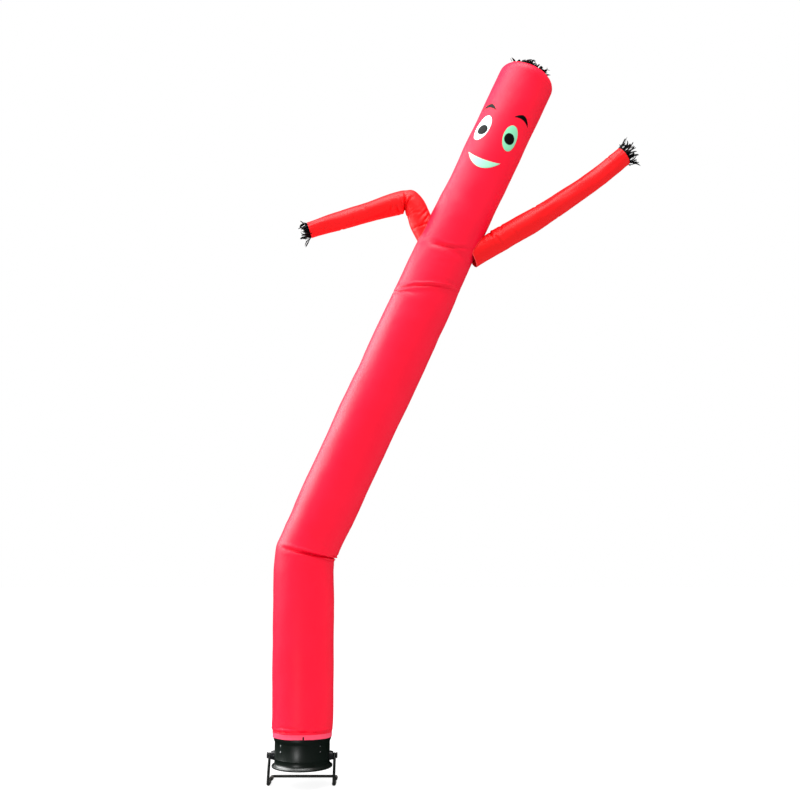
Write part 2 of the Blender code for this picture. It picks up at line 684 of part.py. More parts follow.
build_trunk()
build_arms()
build_fringe(HEAD_FRINGE, dome_rows(TRUNK[-1])[-1], TRUNK_SIDES)
build_fringe(RIGHT_FRINGE, ARM_RIGHT[-1], ARM_SIDES)
build_fringe(LEFT_FRINGE, ARM_LEFT[-1], ARM_SIDES)
for shape in OVALS:
    oval_patch(shape)
for shape in CRESCENTS:
    crescent_patch(shape)
build_drum()
build_motor()
build_fan()
build_guard()
build_stand()
build_gland()
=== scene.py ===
"""The inflatable air dancer on its blower, with the folds, seams and finishes of the real one.

Distances are in metres. Tables of the cloth count x from the blower's axis, as the solids do.
"""

import math
from collections import namedtuple

import bmesh
import bpy
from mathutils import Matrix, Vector, noise


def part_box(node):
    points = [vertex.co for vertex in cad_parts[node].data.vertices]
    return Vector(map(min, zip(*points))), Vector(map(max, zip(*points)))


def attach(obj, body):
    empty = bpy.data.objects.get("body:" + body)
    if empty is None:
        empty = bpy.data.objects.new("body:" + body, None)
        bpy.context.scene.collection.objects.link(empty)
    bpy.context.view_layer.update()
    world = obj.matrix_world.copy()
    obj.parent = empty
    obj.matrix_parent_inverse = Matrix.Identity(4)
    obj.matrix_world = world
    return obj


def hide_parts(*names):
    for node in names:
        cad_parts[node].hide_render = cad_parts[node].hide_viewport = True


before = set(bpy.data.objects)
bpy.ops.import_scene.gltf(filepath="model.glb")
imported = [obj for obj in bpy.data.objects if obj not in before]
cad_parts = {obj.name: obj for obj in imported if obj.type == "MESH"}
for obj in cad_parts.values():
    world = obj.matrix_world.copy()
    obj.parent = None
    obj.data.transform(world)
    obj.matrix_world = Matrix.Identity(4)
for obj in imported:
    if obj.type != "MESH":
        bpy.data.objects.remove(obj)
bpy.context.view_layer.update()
DRUM_LOW, DRUM_HIGH = (Vector(corner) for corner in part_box("blower_drum"))
AXIS = Vector(((DRUM_LOW.x + DRUM_HIGH.x) / 2, 0, 0))  # the blower's axis at floor level

# Camera, from the fit to the photograph
EYE = AXIS + Vector((0.7243, -7.5, 1.66))
CAMERA_PITCH = 99.17
CAMERA_LENS = 43.59
CAMERA_SENSOR = 36.0

# Cloth
SKIN = 0.0014  # thickness of the sleeves as shown
SEAM_ANGLE = 270  # the sleeves are sewn up their backs
HEAD_LEAN = 25
TRUNK_SIDES = 128
ARM_SIDES = 72

# A ring of a sleeve: its centre, how far its axis leans to the right and how far off square it is cut, in
# degrees, which widens it, its radius, and how deep and at which angle the cloth is tucked in. Angles go
# round a sleeve from the side that it leans to: 90 is its front and 270 its back.
Row = namedtuple("Row", "name x z lean skew radius tuck tuck_at")
TRUNK = [
    Row("hem edge", 0.000, 0.337, 0, 0, 0.2178, 0.000, 0),
    Row("hem fold", 0.000, 0.377, 0, 0, 0.2190, 0.000, 0),
    Row("hem puff", 0.000, 0.396, 0, 0, 0.2240, 0.000, 0),
    Row("ankle", 0.000, 0.470, 0, 0, 0.2280, 0.002, 150),
    Row("shin", -0.003, 0.900, 0, 0, 0.2310, 0.003, 60),
    Row("calf", -0.006, 1.330, 0, 0, 0.2315, 0.002, 20),
    Row("knee bulge", -0.008, 1.545, 1, 0, 0.2300, 0.003, 0),
    Row("knee foot", -0.003, 1.628, 4, 3, 0.2290, 0.005, 0),
    Row("crease foot", 0.002, 1.670, 9, 9, 0.2280, 0.010, 50),
    Row("knee crease", 0.006, 1.689, 12, 12, 0.2275, 0.026, 52),
    Row("crease lip", 0.013, 1.705, 14, 11, 0.2295, 0.004, 30),
    Row("knee top", 0.040, 1.766, 20, 4, 0.2300, 0.000, 0),
    Row("thigh", 0.079, 1.860, 24, 0, 0.2325, 0.003, 180),
    Row("hip", 0.184, 2.089, 24.3, 0, 0.2385, 0.000, 0),
    Row("hip top", 0.328, 2.399, 24.3, 0, 0.2405, 0.003, 70),
    Row("flank", 0.466, 2.712, 24.3, 0, 0.2425, 0.000, 0),
    Row("flank top", 0.614, 3.030, 24.3, 0, 0.2437, 0.003, 110),
    Row("belly", 0.796, 3.433, 24.3, 0, 0.2455, 0.000, 0),
    Row("waist foot", 0.877, 3.612, 16, 9, 0.2450, 0.002, 120),
    Row("waist crease", 0.930, 3.734, 0, 25, 0.2395, 0.009, 60),
    Row("waist lip", 0.937, 3.751, 1, 24, 0.2390, 0.001, 60),
    Row("ribs", 0.985, 3.858, 18, 7, 0.2385, 0.000, 0),
    Row("under chest", 1.055, 4.008, 25, 0, 0.2370, 0.002, 90),
    Row("chest crease", 1.074, 4.048, 25, 0, 0.2355, 0.012, 90),
    Row("over crease", 1.091, 4.084, 25, 0, 0.2360, 0.002, 75),
    Row("shoulder", 1.194, 4.305, 25, 0, 0.2345, 0.000, 0),
    Row("neck", 1.308, 4.550, HEAD_LEAN, 0, 0.2318, 0.003, 175),
    Row("cheek", 1.462, 4.880, HEAD_LEAN, 0, 0.2318, 0.000, 0),
    Row("brow", 1.626, 5.232, HEAD_LEAN, 0, 0.2318, 0.000, 0),
    Row("crown foot", 1.761, 5.522, HEAD_LEAN, 0, 0.2310, 0.000, 0),
]
DOME_RISE = 0.080
DOME_STEPS = 12
DOME_FULLNESS = 0.6
VENT_RADIUS = 0.134
SLIT_X = 0.0265
SLIT_WIDTH = 0.011
SLIT_HEIGHT = 0.040

ARM_RIGHT = [
    Row("root", 1.290, 4.041, 61, 0, 0.1010, 0.000, 0),
    Row("shoulder crease", 1.470, 4.144, 60, 0, 0.0985, 0.006, 180),
    Row("upper arm", 1.525, 4.175, 59, 0, 0.1000, 0.000, 0),
    Row("upper arm top", 1.725, 4.290, 57.5, 0, 0.0975, 0.000, 0),
    Row("elbow", 1.904, 4.407, 55.5, 0, 0.0925, 0.003, 0),
    Row("forearm", 2.156, 4.578, 53.5, 0, 0.0870, 0.000, 0),
    Row("wrist", 2.366, 4.735, 52, 0, 0.0820, 0.003, 180),
    Row("hand hem", 2.5475, 4.886, 51.7, 0, 0.0787, 0.000, 0),
]
ARM_LEFT = [
    Row("root", 1.010, 4.100, -27, 0, 0.0990, 0.000, 0),
    Row("armpit fold", 0.915, 4.280, -27, 0, 0.0990, 0.005, 60),
    Row("upper arm", 0.888, 4.335, -28, 0, 0.0985, 0.000, 0),
    Row("elbow heel", 0.845, 4.440, -45, 9, 0.0980, 0.000, 0),
    Row("elbow top", 0.790, 4.499, -75, 8, 0.0985, 0.004, 180),
    Row("elbow crease", 0.765, 4.499, -88, 10, 0.0915, 0.014, 180),
    Row("crease lip", 0.738, 4.491, -97, 6, 0.0960, 0.002, 180),
    Row("forearm", 0.660, 4.470, -106, 0, 0.0935, 0.000, 0),
    Row("mid forearm", 0.482, 4.414, -107.7, 0, 0.0855, 0.002, 0),
    Row("wrist", 0.188, 4.3235, -108, 0, 0.0757, 0.000, 0),
    Row("hand hem", -0.0065, 4.2575, -107, 0, 0.0652, 0.000, 0),
]

# A crease: the row it lies by and how far beyond it, the angle at its middle and half its reach in degrees,
# how far it climbs over that half, its depth, its half width and the height of the lip above it
Crease = namedtuple("Crease", "row beyond angle reach climb depth width lip")
TRUNK_CREASES = [
    Crease("knee crease", 0.000, 50, 92, 0.000, 0.015, 0.009, 0.009),
    Crease("knee crease", -0.030, 30, 46, 0.016, 0.006, 0.010, 0.003),
    Crease("knee crease", 0.034, 20, 40, -0.016, 0.005, 0.009, 0.003),
    Crease("knee foot", -0.020, 335, 30, 0.020, 0.005, 0.010, 0.002),
    Crease("knee top", 0.020, 60, 26, 0.030, 0.004, 0.012, 0.001),
    Crease("waist crease", 0.000, 90, 95, 0.000, 0.006, 0.009, 0.007),
    Crease("waist crease", -0.055, 128, 36, 0.020, 0.004, 0.010, 0.002),
    Crease("waist lip", 0.060, 52, 34, -0.018, 0.004, 0.010, 0.002),
    Crease("chest crease", 0.004, 91, 30, -0.030, 0.010, 0.010, 0.004),
    Crease("chest crease", 0.050, 63, 20, -0.040, 0.008, 0.010, 0.003),
    Crease("chest crease", -0.120, 80, 20, -0.024, 0.004, 0.010, 0.002),
    Crease("hem puff", 0.004, 56, 42, 0.012, 0.009, 0.007, 0.006),
    Crease("hem puff", 0.004, 118, 46, -0.010, 0.009, 0.007, 0.006),
    Crease("hem puff", 0.002, 205, 48, 0.008, 0.008, 0.007, 0.005),
    Crease("hem puff", 0.006, 296, 56, -0.010, 0.008, 0.007, 0.005),
    Crease("hem puff", 0.028, 96, 40, 0.008, 0.004, 0.008, 0.003),
    Crease("shoulder", -0.090, 150, 26, 0.050, 0.004, 0.010, 0.001),
    Crease("shoulder", -0.160, 25, 24, -0.050, 0.005, 0.010, 0.001),
    Crease("crown foot", 0.070, 80, 60, 0.020, 0.003, 0.008, 0.002),
    Crease("crown foot", 0.100, 200, 70, -0.020, 0.004, 0.008, 0.002),
]
RIGHT_CREASES = [
    Crease("shoulder crease", 0.010, 130, 75, 0.030, 0.013, 0.008, 0.005),
    Crease("shoulder crease", 0.045, 70, 45, -0.020, 0.007, 0.008, 0.003),
    Crease("shoulder crease", -0.030, 100, 50, 0.020, 0.005, 0.009, 0.002),
    Crease("upper arm", 0.060, 160, 50, 0.030, 0.005, 0.009, 0.002),
    Crease("upper arm", 0.130, 60, 40, -0.030, 0.004, 0.009, 0.002),
    Crease("elbow", -0.040, 190, 60, 0.025, 0.006, 0.009, 0.003),
    Crease("elbow", 0.050, 20, 50, -0.030, 0.005, 0.009, 0.002),
    Crease("forearm", 0.060, 110, 50, 0.030, 0.004, 0.009, 0.001),
    Crease("wrist", 0.020, 230, 60, -0.020, 0.005, 0.008, 0.002),
    Crease("wrist", 0.110, 130, 60, 0.020, 0.005, 0.008, 0.002),
]
LEFT_CREASES = [
    Crease("armpit fold", 0.000, 100, 70, 0.020, 0.011, 0.007, 0.004),
    Crease("armpit fold", 0.030, 70, 36, -0.034, 0.008, 0.007, 0.003),
    Crease("upper arm", 0.020, 60, 50, -0.030, 0.007, 0.008, 0.003),
    Crease("upper arm", 0.060, 110, 40, 0.030, 0.005, 0.008, 0.002),
    Crease("elbow heel", -0.010, 150, 50, 0.020, 0.007, 0.008, 0.003),
    Crease("elbow top", -0.010, 110, 44, 0.026, 0.007, 0.007, 0.003),
    Crease("elbow top", 0.000, 170, 70, 0.012, 0.008, 0.007, 0.004),
    Crease("elbow crease", 0.000, 140, 100, 0.000, 0.018, 0.008, 0.007),
    Crease("crease lip", 0.010, 100, 44, -0.026, 0.009, 0.008, 0.004),
    Crease("crease lip", 0.040, 150, 55, -0.018, 0.007, 0.008, 0.003),
    Crease("forearm", 0.020, 130, 50, 0.028, 0.006, 0.009, 0.002),
    Crease("mid forearm", 0.050, 60, 50, -0.020, 0.004, 0.009, 0.001),
    Crease("mid forearm", 0.150, 120, 50, 0.030, 0.004, 0.009, 0.001),
    Crease("wrist", -0.040, 210, 55, 0.020, 0.005, 0.009, 0.002),
    Crease("wrist", 0.080, 110, 60, 0.014, 0.005, 0.008, 0.002),
]

# A sleeve: its rows and how far along it each lies, its creases, its soft dents and their depth, the number
# of puckers gathered at its first and last ring with their depth, and a seed.
Sleeve = namedtuple("Sleeve", "rows places creases dents dent_depth puckers pucker_depth seed")
# A soft dent: where it lies along and round the sleeve, its half length in metres, its half reach in degrees,
# how far it slants in degrees a metre, and its depth as a share of the sleeve's.
Dent = namedtuple("Dent", "place angle length reach slant depth")


def axis_of(lean):
    lean = math.radians(lean)
    return Vector((math.sin(lean), 0, math.cos(lean)))


def across_of(lean):
    lean = math.radians(lean)
    return Vector((math.cos(lean), 0, -math.sin(lean)))


def vary(index, seed):
    """A repeatable number from 0 to 1 for each index and seed."""
    wave = math.sin(index * 12.9898 + seed * 78.233) * 43758.5453
    return wave - math.floor(wave)


def between(low, high, index, seed):
    return low + (high - low) * vary(index, seed)


def dome_rows(foot):
    """Rings that close the head in from its last straight ring to the vent."""
    rows = []
    for step in range(1, DOME_STEPS + 1):
        turn = math.pi / 2 * step / DOME_STEPS
        centre = Vector((foot.x, 0, foot.z)) + axis_of(foot.lean) * DOME_RISE * math.sin(turn)
        inward = max(0.0, math.cos(turn)) ** DOME_FULLNESS if step < DOME_STEPS else 0.0
        radius = VENT_RADIUS + (foot.radius - VENT_RADIUS) * inward
        rows.append(Row(f"dome {step}", centre.x, centre.z, foot.lean, 0, radius, 0, 0))
    return rows


def places_of(rows):
    """How far along the sleeve each row lies, over its skin where the rings close in."""
    places = [0.0]
    for low, high in zip(rows, rows[1:]):
        step = math.hypot(high.x - low.x, high.z - low.z)
        if high.name.startswith("dome"):
            step = math.hypot(step, high.radius - low.radius)
        places.append(places[-1] + step)
    return places


def new_sleeve(rows, creases, dents, dent_depth, puckers, pucker_depth, seed):
    places = places_of(rows)
    names = [row.name for row in rows]
    placed = [(places[names.index(crease.row)] + crease.beyond, crease) for crease in creases]
    low, high = (0.3, places[-1] - 0.3) if places[-1] > 3 else (0.1, places[-1])
    soft = []
    for i in range(dents):
        sunk = vary(i, seed + 6) < 0.7
        soft.append(Dent(
            place=between(low, high, i, seed),
            angle=between(0, 360, i, seed + 1),
            length=between(0.05, 0.20, i, seed + 2),
            reach=between(12, 34, i, seed + 3),
            slant=between(-10.8, 10.8, i, seed + 4),
            depth=between(0.35, 1.0, i, seed + 5) * (1 if sunk else -0.6),
        ))
    return Sleeve(rows, places, placed, soft, dent_depth, puckers, pucker_depth, seed)


def smooth_between(values, places, i, along):
    """A curve through the values that never runs past them."""

    def slope(k):
        if k == 0 or k == len(values) - 1:
            return None
        before = (values[k] - values[k - 1]) / (places[k] - places[k - 1])
        after = (values[k + 1] - values[k]) / (places[k + 1] - places[k])
        return 0.0 if before * after <= 0 else 2 * before * after / (before + after)

    span = places[i + 1] - places[i]
    rise = (values[i + 1] - values[i]) / span
    start, end = slope(i), slope(i + 1)
    start = rise if start is None else start
    end = rise if end is None else end
    t = min(1.0, max(0.0, (along - places[i]) / span))
    square, cube = t * t, t * t * t
    return (
        (2 * cube - 3 * square + 1) * values[i]
        + (cube - 2 * square + t) * span * start
        + (3 * square - 2 * cube) * values[i + 1]
        + (cube - square) * span * end
    )


def ring_at(sleeve, along):
    """The ring of a sleeve at a distance along it."""
    places = sleeve.places
    i = max(0, min(len(places) - 2, sum(place <= along for place in places) - 1))
    window = range(max(0, i - 1), min(len(places), i + 3))
    near = [places[k] for k in window]
    numbers = []
    for column in range(1, 8):
        values = [sleeve.rows[k][column] for k in window]
        numbers.append(smooth_between(values, near, i - window[0], along))
    return Row("ring", *numbers)


CREASE_WANDER = 0.004  # how far a crease strays from its line
GATHERED_FIRST, GATHERED_LAST = 0.05, 0.045  # how fast the puckers die away from each end


def apart(angle, other):
    """The smaller angle between two angles, in degrees."""
    return (angle - other + 180) % 360 - 180


def relief(sleeve, angle, along):
    """How far the skin stands proud of its ring: creases, soft dents, puckers and unevenness."""
    height = 0.0
    for place, crease in sleeve.creases:
        turn = apart(angle, crease.angle) / crease.reach
        if abs(turn) >= 1:
            continue
        wander = CREASE_WANDER * noise.noise((angle / 14, place * 9, 3.0))
        line = place + crease.climb * turn + wander
        away = (along - line) / crease.width
        if abs(away) > 6:
            continue
        fade = (1 - turn * turn) ** 0.8
        upper_lip = math.exp(-(((away - 2.2) / 1.2) ** 2))
        lower_lip = math.exp(-(((away + 2.4) / 1.6) ** 2))
        height -= crease.depth * fade * math.exp(-abs(away) ** 1.3)
        height += crease.lip * fade * upper_lip
        height += 0.5 * crease.lip * fade * lower_lip
    for dent in sleeve.dents:
        rise = along - dent.place
        if abs(rise) > 2.2 * dent.length:
            continue
        turn = apart(angle, dent.angle + rise * dent.slant) / dent.reach
        if abs(turn) < 2.2:
            height -= sleeve.dent_depth * dent.depth * math.exp(-turn * turn - (rise / dent.length) ** 2)
    ends = math.exp(-along / GATHERED_FIRST) + math.exp(-(sleeve.places[-1] - along) / GATHERED_LAST)
    if ends > 0.02:
        waver = 2.2 * noise.noise((angle / 30, 1.0, sleeve.seed))
        ripple = math.sin(math.radians(angle) * sleeve.puckers + waver)
        height += sleeve.pucker_depth * ends * ripple * (0.6 + noise.noise((angle / 25, along * 20, 7.0)))
    where = Vector((math.cos(math.radians(angle)), math.sin(math.radians(angle)), along * 3.2))
    height += 0.4 * sleeve.dent_depth * noise.fractal(where * 1.6, 1.0, 2.0, 3)
    return height


def skin_point(sleeve, angle, along, lift=0.0):
    """A point on a sleeve's outer skin, or a lift above it."""
    row = ring_at(sleeve, along)
    turn = math.radians(angle)
    near = max(0.0, math.cos(turn - math.radians(row.tuck_at)))
    radius = row.radius - row.tuck * near**2 + relief(sleeve, angle, along) + lift
    across = across_of(row.lean) / math.cos(math.radians(row.skew))
    offset = across * radius * math.cos(turn) - Vector((0, radius * math.sin(turn), 0))
    return AXIS + Vector((row.x, 0, row.z)) + offset


def slack_at(sleeve, angle, along):
    """From 0 to 1, how crumpled the cloth is: near creases and gathered ends."""
    slack = 0.9 * math.exp(-along / 0.07) + 0.8 * math.exp(-(sleeve.places[-1] - along) / 0.06)
    for place, crease in sleeve.creases:
        turn = apart(angle, crease.angle) / (crease.reach * 1.3)
        away = (along - place) / 0.07
        if abs(turn) < 1 and abs(away) < 3:
            slack += (1 - turn * turn) * math.exp(-away * away) * min(1.0, crease.depth / 0.007)
    return min(1.0, slack)


def steps_along(length, coarse, zones):
    """Places along a sleeve, close together inside the zones (start, end, step)."""
    places = [0.0]
    while places[-1] < length:
        step = min([coarse] + [zone[2] for zone in zones if zone[0] <= places[-1] < zone[1]])
        places.append(min(length, places[-1] + step))
    if places[-1] - places[-2] < 0.002:
        del places[-2]
    return places


def put(name, mesh):
    obj = bpy.data.objects.new(name, mesh)
    bpy.context.scene.collection.objects.link(obj)
    return obj


def only(*objects):
    """Selects these objects and nothing else, the last one active."""
    if bpy.context.mode != "OBJECT":
        bpy.ops.object.mode_set(mode="OBJECT")
    bpy.ops.object.select_all(action="DESELECT")
    for obj in objects:
        obj.select_set(True)
    bpy.context.view_layer.objects.active = objects[-1]
    return objects[-1]


def finish_mesh(obj, smooth=40):
    only(obj)
    bpy.ops.object.shade_smooth_by_angle(angle=math.radians(smooth))
    return obj


def apply_modifiers(obj):
    only(obj)
    for modifier in list(obj.modifiers):
        bpy.ops.object.modifier_apply(modifier=modifier.name)
    return obj


def thicken(obj, thickness):
    wall = obj.modifiers.new("Wall", "SOLIDIFY")
    wall.thickness = thickness
    wall.offset = -1
    wall.use_even_offset = False
    return apply_modifiers(obj)


def skin_mesh(name, sleeve, sides, places, start=None, hole=None):
    """The fine skin of a sleeve. start gives the place where each side's column begins, for a sleeve that
    is sewn on; hole says which faces are cut away."""
    bm = bmesh.new()
    cloth = bm.loops.layers.uv.new("cloth")
    slack = bm.verts.layers.float.new("slack")
    to_end = bm.verts.layers.float.new("to_end")
    from_seam = bm.verts.layers.float.new("from_seam")
    grid = []
    for along in places:
        ring = []
        for i in range(sides):
            angle = 360 * i / sides
            here = along
            if start:
                first, merge = start[i], places[START_ROWS]
                if along < merge:
                    here = first + (merge - first) * along / merge
            vert = bm.verts.new(skin_point(sleeve, angle, here))
            vert[slack] = slack_at(sleeve, angle, here)
            vert[to_end] = sleeve.places[-1] - here
            vert[from_seam] = math.radians(abs(apart(angle, SEAM_ANGLE))) * sleeve.rows[0].radius
            ring.append((vert, here))
        grid.append(ring)
    girth = math.tau * sleeve.rows[0].radius
    for low, high in zip(grid, grid[1:]):
        for i in range(sides):
            j = (i + 1) % sides
            corners = [(low[i], i), (high[i], i), (high[j], i + 1), (low[j], i + 1)]
            centre = sum((corner[0][0].co for corner in corners), Vector()) / 4
            if hole and hole(centre):
                continue
            face = bm.faces.new([corner[0][0] for corner in corners])
            for loop, ((_, here), side) in zip(face.loops, corners):
                base = here - start[side % sides] if start else here
                loop[cloth].uv = (girth * side / sides, base)
    bmesh.ops.delete(bm, geom=[vert for vert in bm.verts if not vert.link_faces], context="VERTS")
    mesh = bpy.data.meshes.new(name)
    bm.to_mesh(mesh)
    bm.free()
    obj = thicken(put(name, mesh), SKIN)
    return finish_mesh(obj, 60)


START_ROWS = 16  # rings between a sewn edge, or the hem's, and the first full ring
TRUNK_SLEEVE = new_sleeve(
    TRUNK + dome_rows(TRUNK[-1]), TRUNK_CREASES,
    dents=120, dent_depth=0.0042, puckers=24, pucker_depth=0.0030, seed=1,
)
RIGHT_SLEEVE = new_sleeve(
    ARM_RIGHT, RIGHT_CREASES, dents=70, dent_depth=0.0052, puckers=17, pucker_depth=0.0030, seed=21
)
LEFT_SLEEVE = new_sleeve(
    ARM_LEFT, LEFT_CREASES, dents=70, dent_depth=0.0052, puckers=15, pucker_depth=0.0028, seed=41
)


def row_called(rows, name):
    return next(row for row in rows if row.name == name)


def row_place(sleeve, name):
    return sleeve.places[sleeve.rows.index(row_called(sleeve.rows, name))]


UNDER_CHEST = row_called(TRUNK, "under chest")
HEAD_RADIUS = row_called(TRUNK, "neck").radius
SEWN_DEPTH = 0.42  # how far along an arm's axis its seam is looked for
SEWN_PROUD = 0.0004  # how far an arm's first ring stands off the trunk's skin
ARM_HOLE_MARGIN = 0.027  # how much smaller than the arm its hole in the trunk is, all round
ARM_HOLE_DEPTH = 0.35


def outside_trunk(point):
    """How far a point near the chest lies outside the trunk's skin."""
    local = point - AXIS
    axis = axis_of(HEAD_LEAN)
    low = Vector((UNDER_CHEST.x, 0, UNDER_CHEST.z))
    along = (local - low).dot(axis)
    place = row_place(TRUNK_SLEEVE, "under chest") + along
    ring = ring_at(TRUNK_SLEEVE, place)
    away = local - low - axis * along
    angle = math.degrees(math.atan2(-away.y, away.dot(across_of(HEAD_LEAN))))
    near = max(0.0, math.cos(math.radians(angle - ring.tuck_at)))
    skin = ring.radius - ring.tuck * near**2 + relief(TRUNK_SLEEVE, angle % 360, place)
    return away.length - skin


def sewn_start(sleeve, sides):
    """Where each side of an arm sleeve comes out of the trunk."""
    starts = []
    for i in range(sides):
        angle = 360 * i / sides
        low, high = 0.0, SEWN_DEPTH
        for _ in range(18):
            middle = (low + high) / 2
            if outside_trunk(skin_point(sleeve, angle, middle)) > SEWN_PROUD:
                high = middle
            else:
                low = middle
        starts.append(high)
    return starts


HEM_RIDE_LEAST, HEM_RIDE_FRONT, HEM_RIDE_WAVER = 0.002, 0.009, 0.004


def hem_rise(angle):
    """How far the trunk's hem rides up the drum: most at the front, and unevenly."""
    front = max(0.0, math.cos(math.radians(angle - 90)))
    waver = 1 + noise.noise((angle / 32, 4.0, 2.0))
    return HEM_RIDE_LEAST + HEM_RIDE_FRONT * front**2 + HEM_RIDE_WAVER * waver


def cut_away(point):
    """Whether a point of the trunk lies inside an arm's seam or in the slit at the front of the hem."""
    local = point - AXIS
    if local.z < TRUNK[0].z + SLIT_HEIGHT and local.y < 0 and abs(local.x - SLIT_X) < SLIT_WIDTH / 2:
        return True
    for first in (ARM_LEFT[0], ARM_RIGHT[0]):
        root = Vector((first.x, 0, first.z))
        axis = axis_of(first.lean)
        along = (local - root).dot(axis)
        away = (local - root - axis * along).length
        if 0.0 < along < ARM_HOLE_DEPTH and away < first.radius - ARM_HOLE_MARGIN:
            return True
    return False


def build_cloth():
    knee, waist = row_place(TRUNK_SLEEVE, "knee crease"), row_place(TRUNK_SLEEVE, "waist crease")
    chest, crown = row_place(TRUNK_SLEEVE, "chest crease"), row_place(TRUNK_SLEEVE, "crown foot")
    zones = [
        (0.0, 0.11, 0.0065),
        (knee - 0.075, knee + 0.075, 0.0065),
        (waist - 0.07, waist + 0.06, 0.0070),
        (chest - 0.04, chest + 0.09, 0.0080),
        (crown - 0.02, TRUNK_SLEEVE.places[-1], 0.0130),
    ]
    places = steps_along(TRUNK_SLEEVE.places[-1], 0.0200, zones)
    hem = [hem_rise(360 * i / TRUNK_SIDES) for i in range(TRUNK_SIDES)]
    trunk = skin_mesh("trunk_skin", TRUNK_SLEEVE, TRUNK_SIDES, places, hem, hole=cut_away)
    dress(trunk, "trunk_sleeve", RED_CLOTH)
    for side, sleeve in (("right", RIGHT_SLEEVE), ("left", LEFT_SLEEVE)):
        start = sewn_start(sleeve, ARM_SIDES)
        merge = max(start) + 0.05
        root = [merge * k / START_ROWS for k in range(START_ROWS)]
        rest = steps_along(sleeve.places[-1] - merge, 0.0070, [])
        arm = skin_mesh(f"arm_skin_{side}", sleeve, ARM_SIDES, root + [merge + p for p in rest], start)
        dress(arm, f"arm_sleeve_{side}", ORANGE_CLOTH)


# Fringe: its strips, their shortest and longest, their width and curl outwards in degrees, how far the band
# lies inside the hem, a seed, and the flat size of its cloth before it is gathered
Fringe = namedtuple("Fringe", "node sleeve strands shortest longest width curl inset seed flat")
FRINGES = [
    Fringe("fringe_head", TRUNK_SLEEVE, 104, 0.044, 0.104, 0.0240, 84, 0.0006, 3, (1.90, 0.120)),
    Fringe("fringe_hand_right", RIGHT_SLEEVE, 50, 0.060, 0.134, 0.0170, 76, 0.0018, 5, (0.90, 0.140)),
    Fringe("fringe_hand_left", LEFT_SLEEVE, 42, 0.040, 0.094, 0.0160, 70, 0.0018, 8, (0.72, 0.110)),
]
FRINGE_STEPS = 9
FRINGE_THICK = 0.0007
BAND_HEIGHT = 0.014
BAND_PROUD = 0.003
BAND_GAP = 0.0008  # between the band and the hem
STRAY_REACH = 1.08  # how far past the longest the odd strip reaches


def fringe_mesh(fringe):
    """A band gathered inside a hem, with strips cut from it that twist, curl and cross."""
    hem = fringe.sleeve.rows[-1]
    axis, across = axis_of(hem.lean), across_of(hem.lean)
    centre = AXIS + Vector((hem.x, 0, hem.z))
    radius = hem.radius - fringe.inset - 2 * BAND_GAP
    bm = bmesh.new()
    run = bm.verts.layers.float.new("run")

    def out(angle):
        return across * math.cos(angle) - Vector((0, math.sin(angle), 0))

    sides = fringe.strands * 2
    rings = []
    for height in (-BAND_HEIGHT, -BAND_HEIGHT / 2, BAND_PROUD):
        ring = []
        for i in range(sides):
            angle = math.tau * i / sides
            wave = 0.0006 * math.sin(angle * 23 + height * 300)
            ring.append(bm.verts.new(centre + out(angle) * (radius - BAND_GAP + wave) + axis * height))
        rings.append(ring)
    for low, high in zip(rings, rings[1:]):
        for i in range(sides):
            j = (i + 1) % sides
            bm.faces.new((low[i], high[i], high[j], low[j]))
    for n in range(fringe.strands):
        grow_strip(bm, run, fringe, n, centre, axis, out, radius)
    mesh = bpy.data.meshes.new(fringe.node + "_cloth")
    bm.to_mesh(mesh)
    bm.free()
    return thicken(put(fringe.node + "_cloth", mesh), FRINGE_THICK)


def grow_strip(bm, run, fringe, n, centre, axis, out, radius):
    """One strip of fringe as a folded ribbon, three points wide."""
    seed = fringe.seed
    angle = math.tau * (n + 0.3 * between(-1, 1, n, seed + 9)) / fringe.strands
    away = out(angle)
    sideways = axis.cross(away)
    stray = vary(n, seed + 11) > 0.70
    middle = (fringe.shortest + fringe.longest) / 2
    low, high = (middle, fringe.longest * STRAY_REACH) if stray else (fringe.shortest, middle)
    length = between(low, high, n, seed)
    curl = math.radians(fringe.curl) * between(0.1, 1.0, n, seed + 1) * (1.5 if stray else 1.0)
    curl *= -0.5 if vary(n, seed + 2) > 0.62 else 1.0
    sway = between(-0.5, 0.5, n, seed + 3) + 0.3 * math.sin(2 * angle + seed)
    twist = between(-1.6, 1.6, n, seed + 4)
    kink = between(-0.7, 0.7, n, seed + 5)
    half = fringe.width * between(0.32, 0.56, n, seed + 6)
    at = centre + away * (radius - BAND_GAP - 0.0022 * vary(n, seed + 7)) + axis * (BAND_PROUD - 0.004)
    before = None
    for step in range(FRINGE_STEPS + 1):
        share = step / FRINGE_STEPS
        bend = curl * share**1.3 + kink * math.sin(share * math.pi * between(1.2, 2.4, n, seed + 8))
        lean = sway * share
        heading = (axis * math.cos(bend) + away * math.sin(bend) + sideways * lean).normalized()
        if step:
            at = at + heading * length / FRINGE_STEPS
        turn = twist * share
        flat = (sideways * math.cos(turn) + away * math.sin(turn)).normalized()
        crown = heading.cross(flat) * half * 0.45
        wide = half * (1.0 - 0.10 * share) * (0.70 if step == FRINGE_STEPS else 1.0)
        points = [at - flat * wide, at + crown * (1 - 0.4 * share), at + flat * wide]
        row = [bm.verts.new(point) for point in points]
        for vert in row:
            vert[run] = share
        if before:
            for a, b, c, d in zip(before, before[1:], row[1:], row):
                bm.faces.new((a, b, c, d))
        before = row


def build_fringes():
    for fringe in FRINGES:
        piece = fringe_mesh(fringe)
        finish_mesh(piece, 50)
        dress(piece, fringe.node, BLACK_CLOTH)


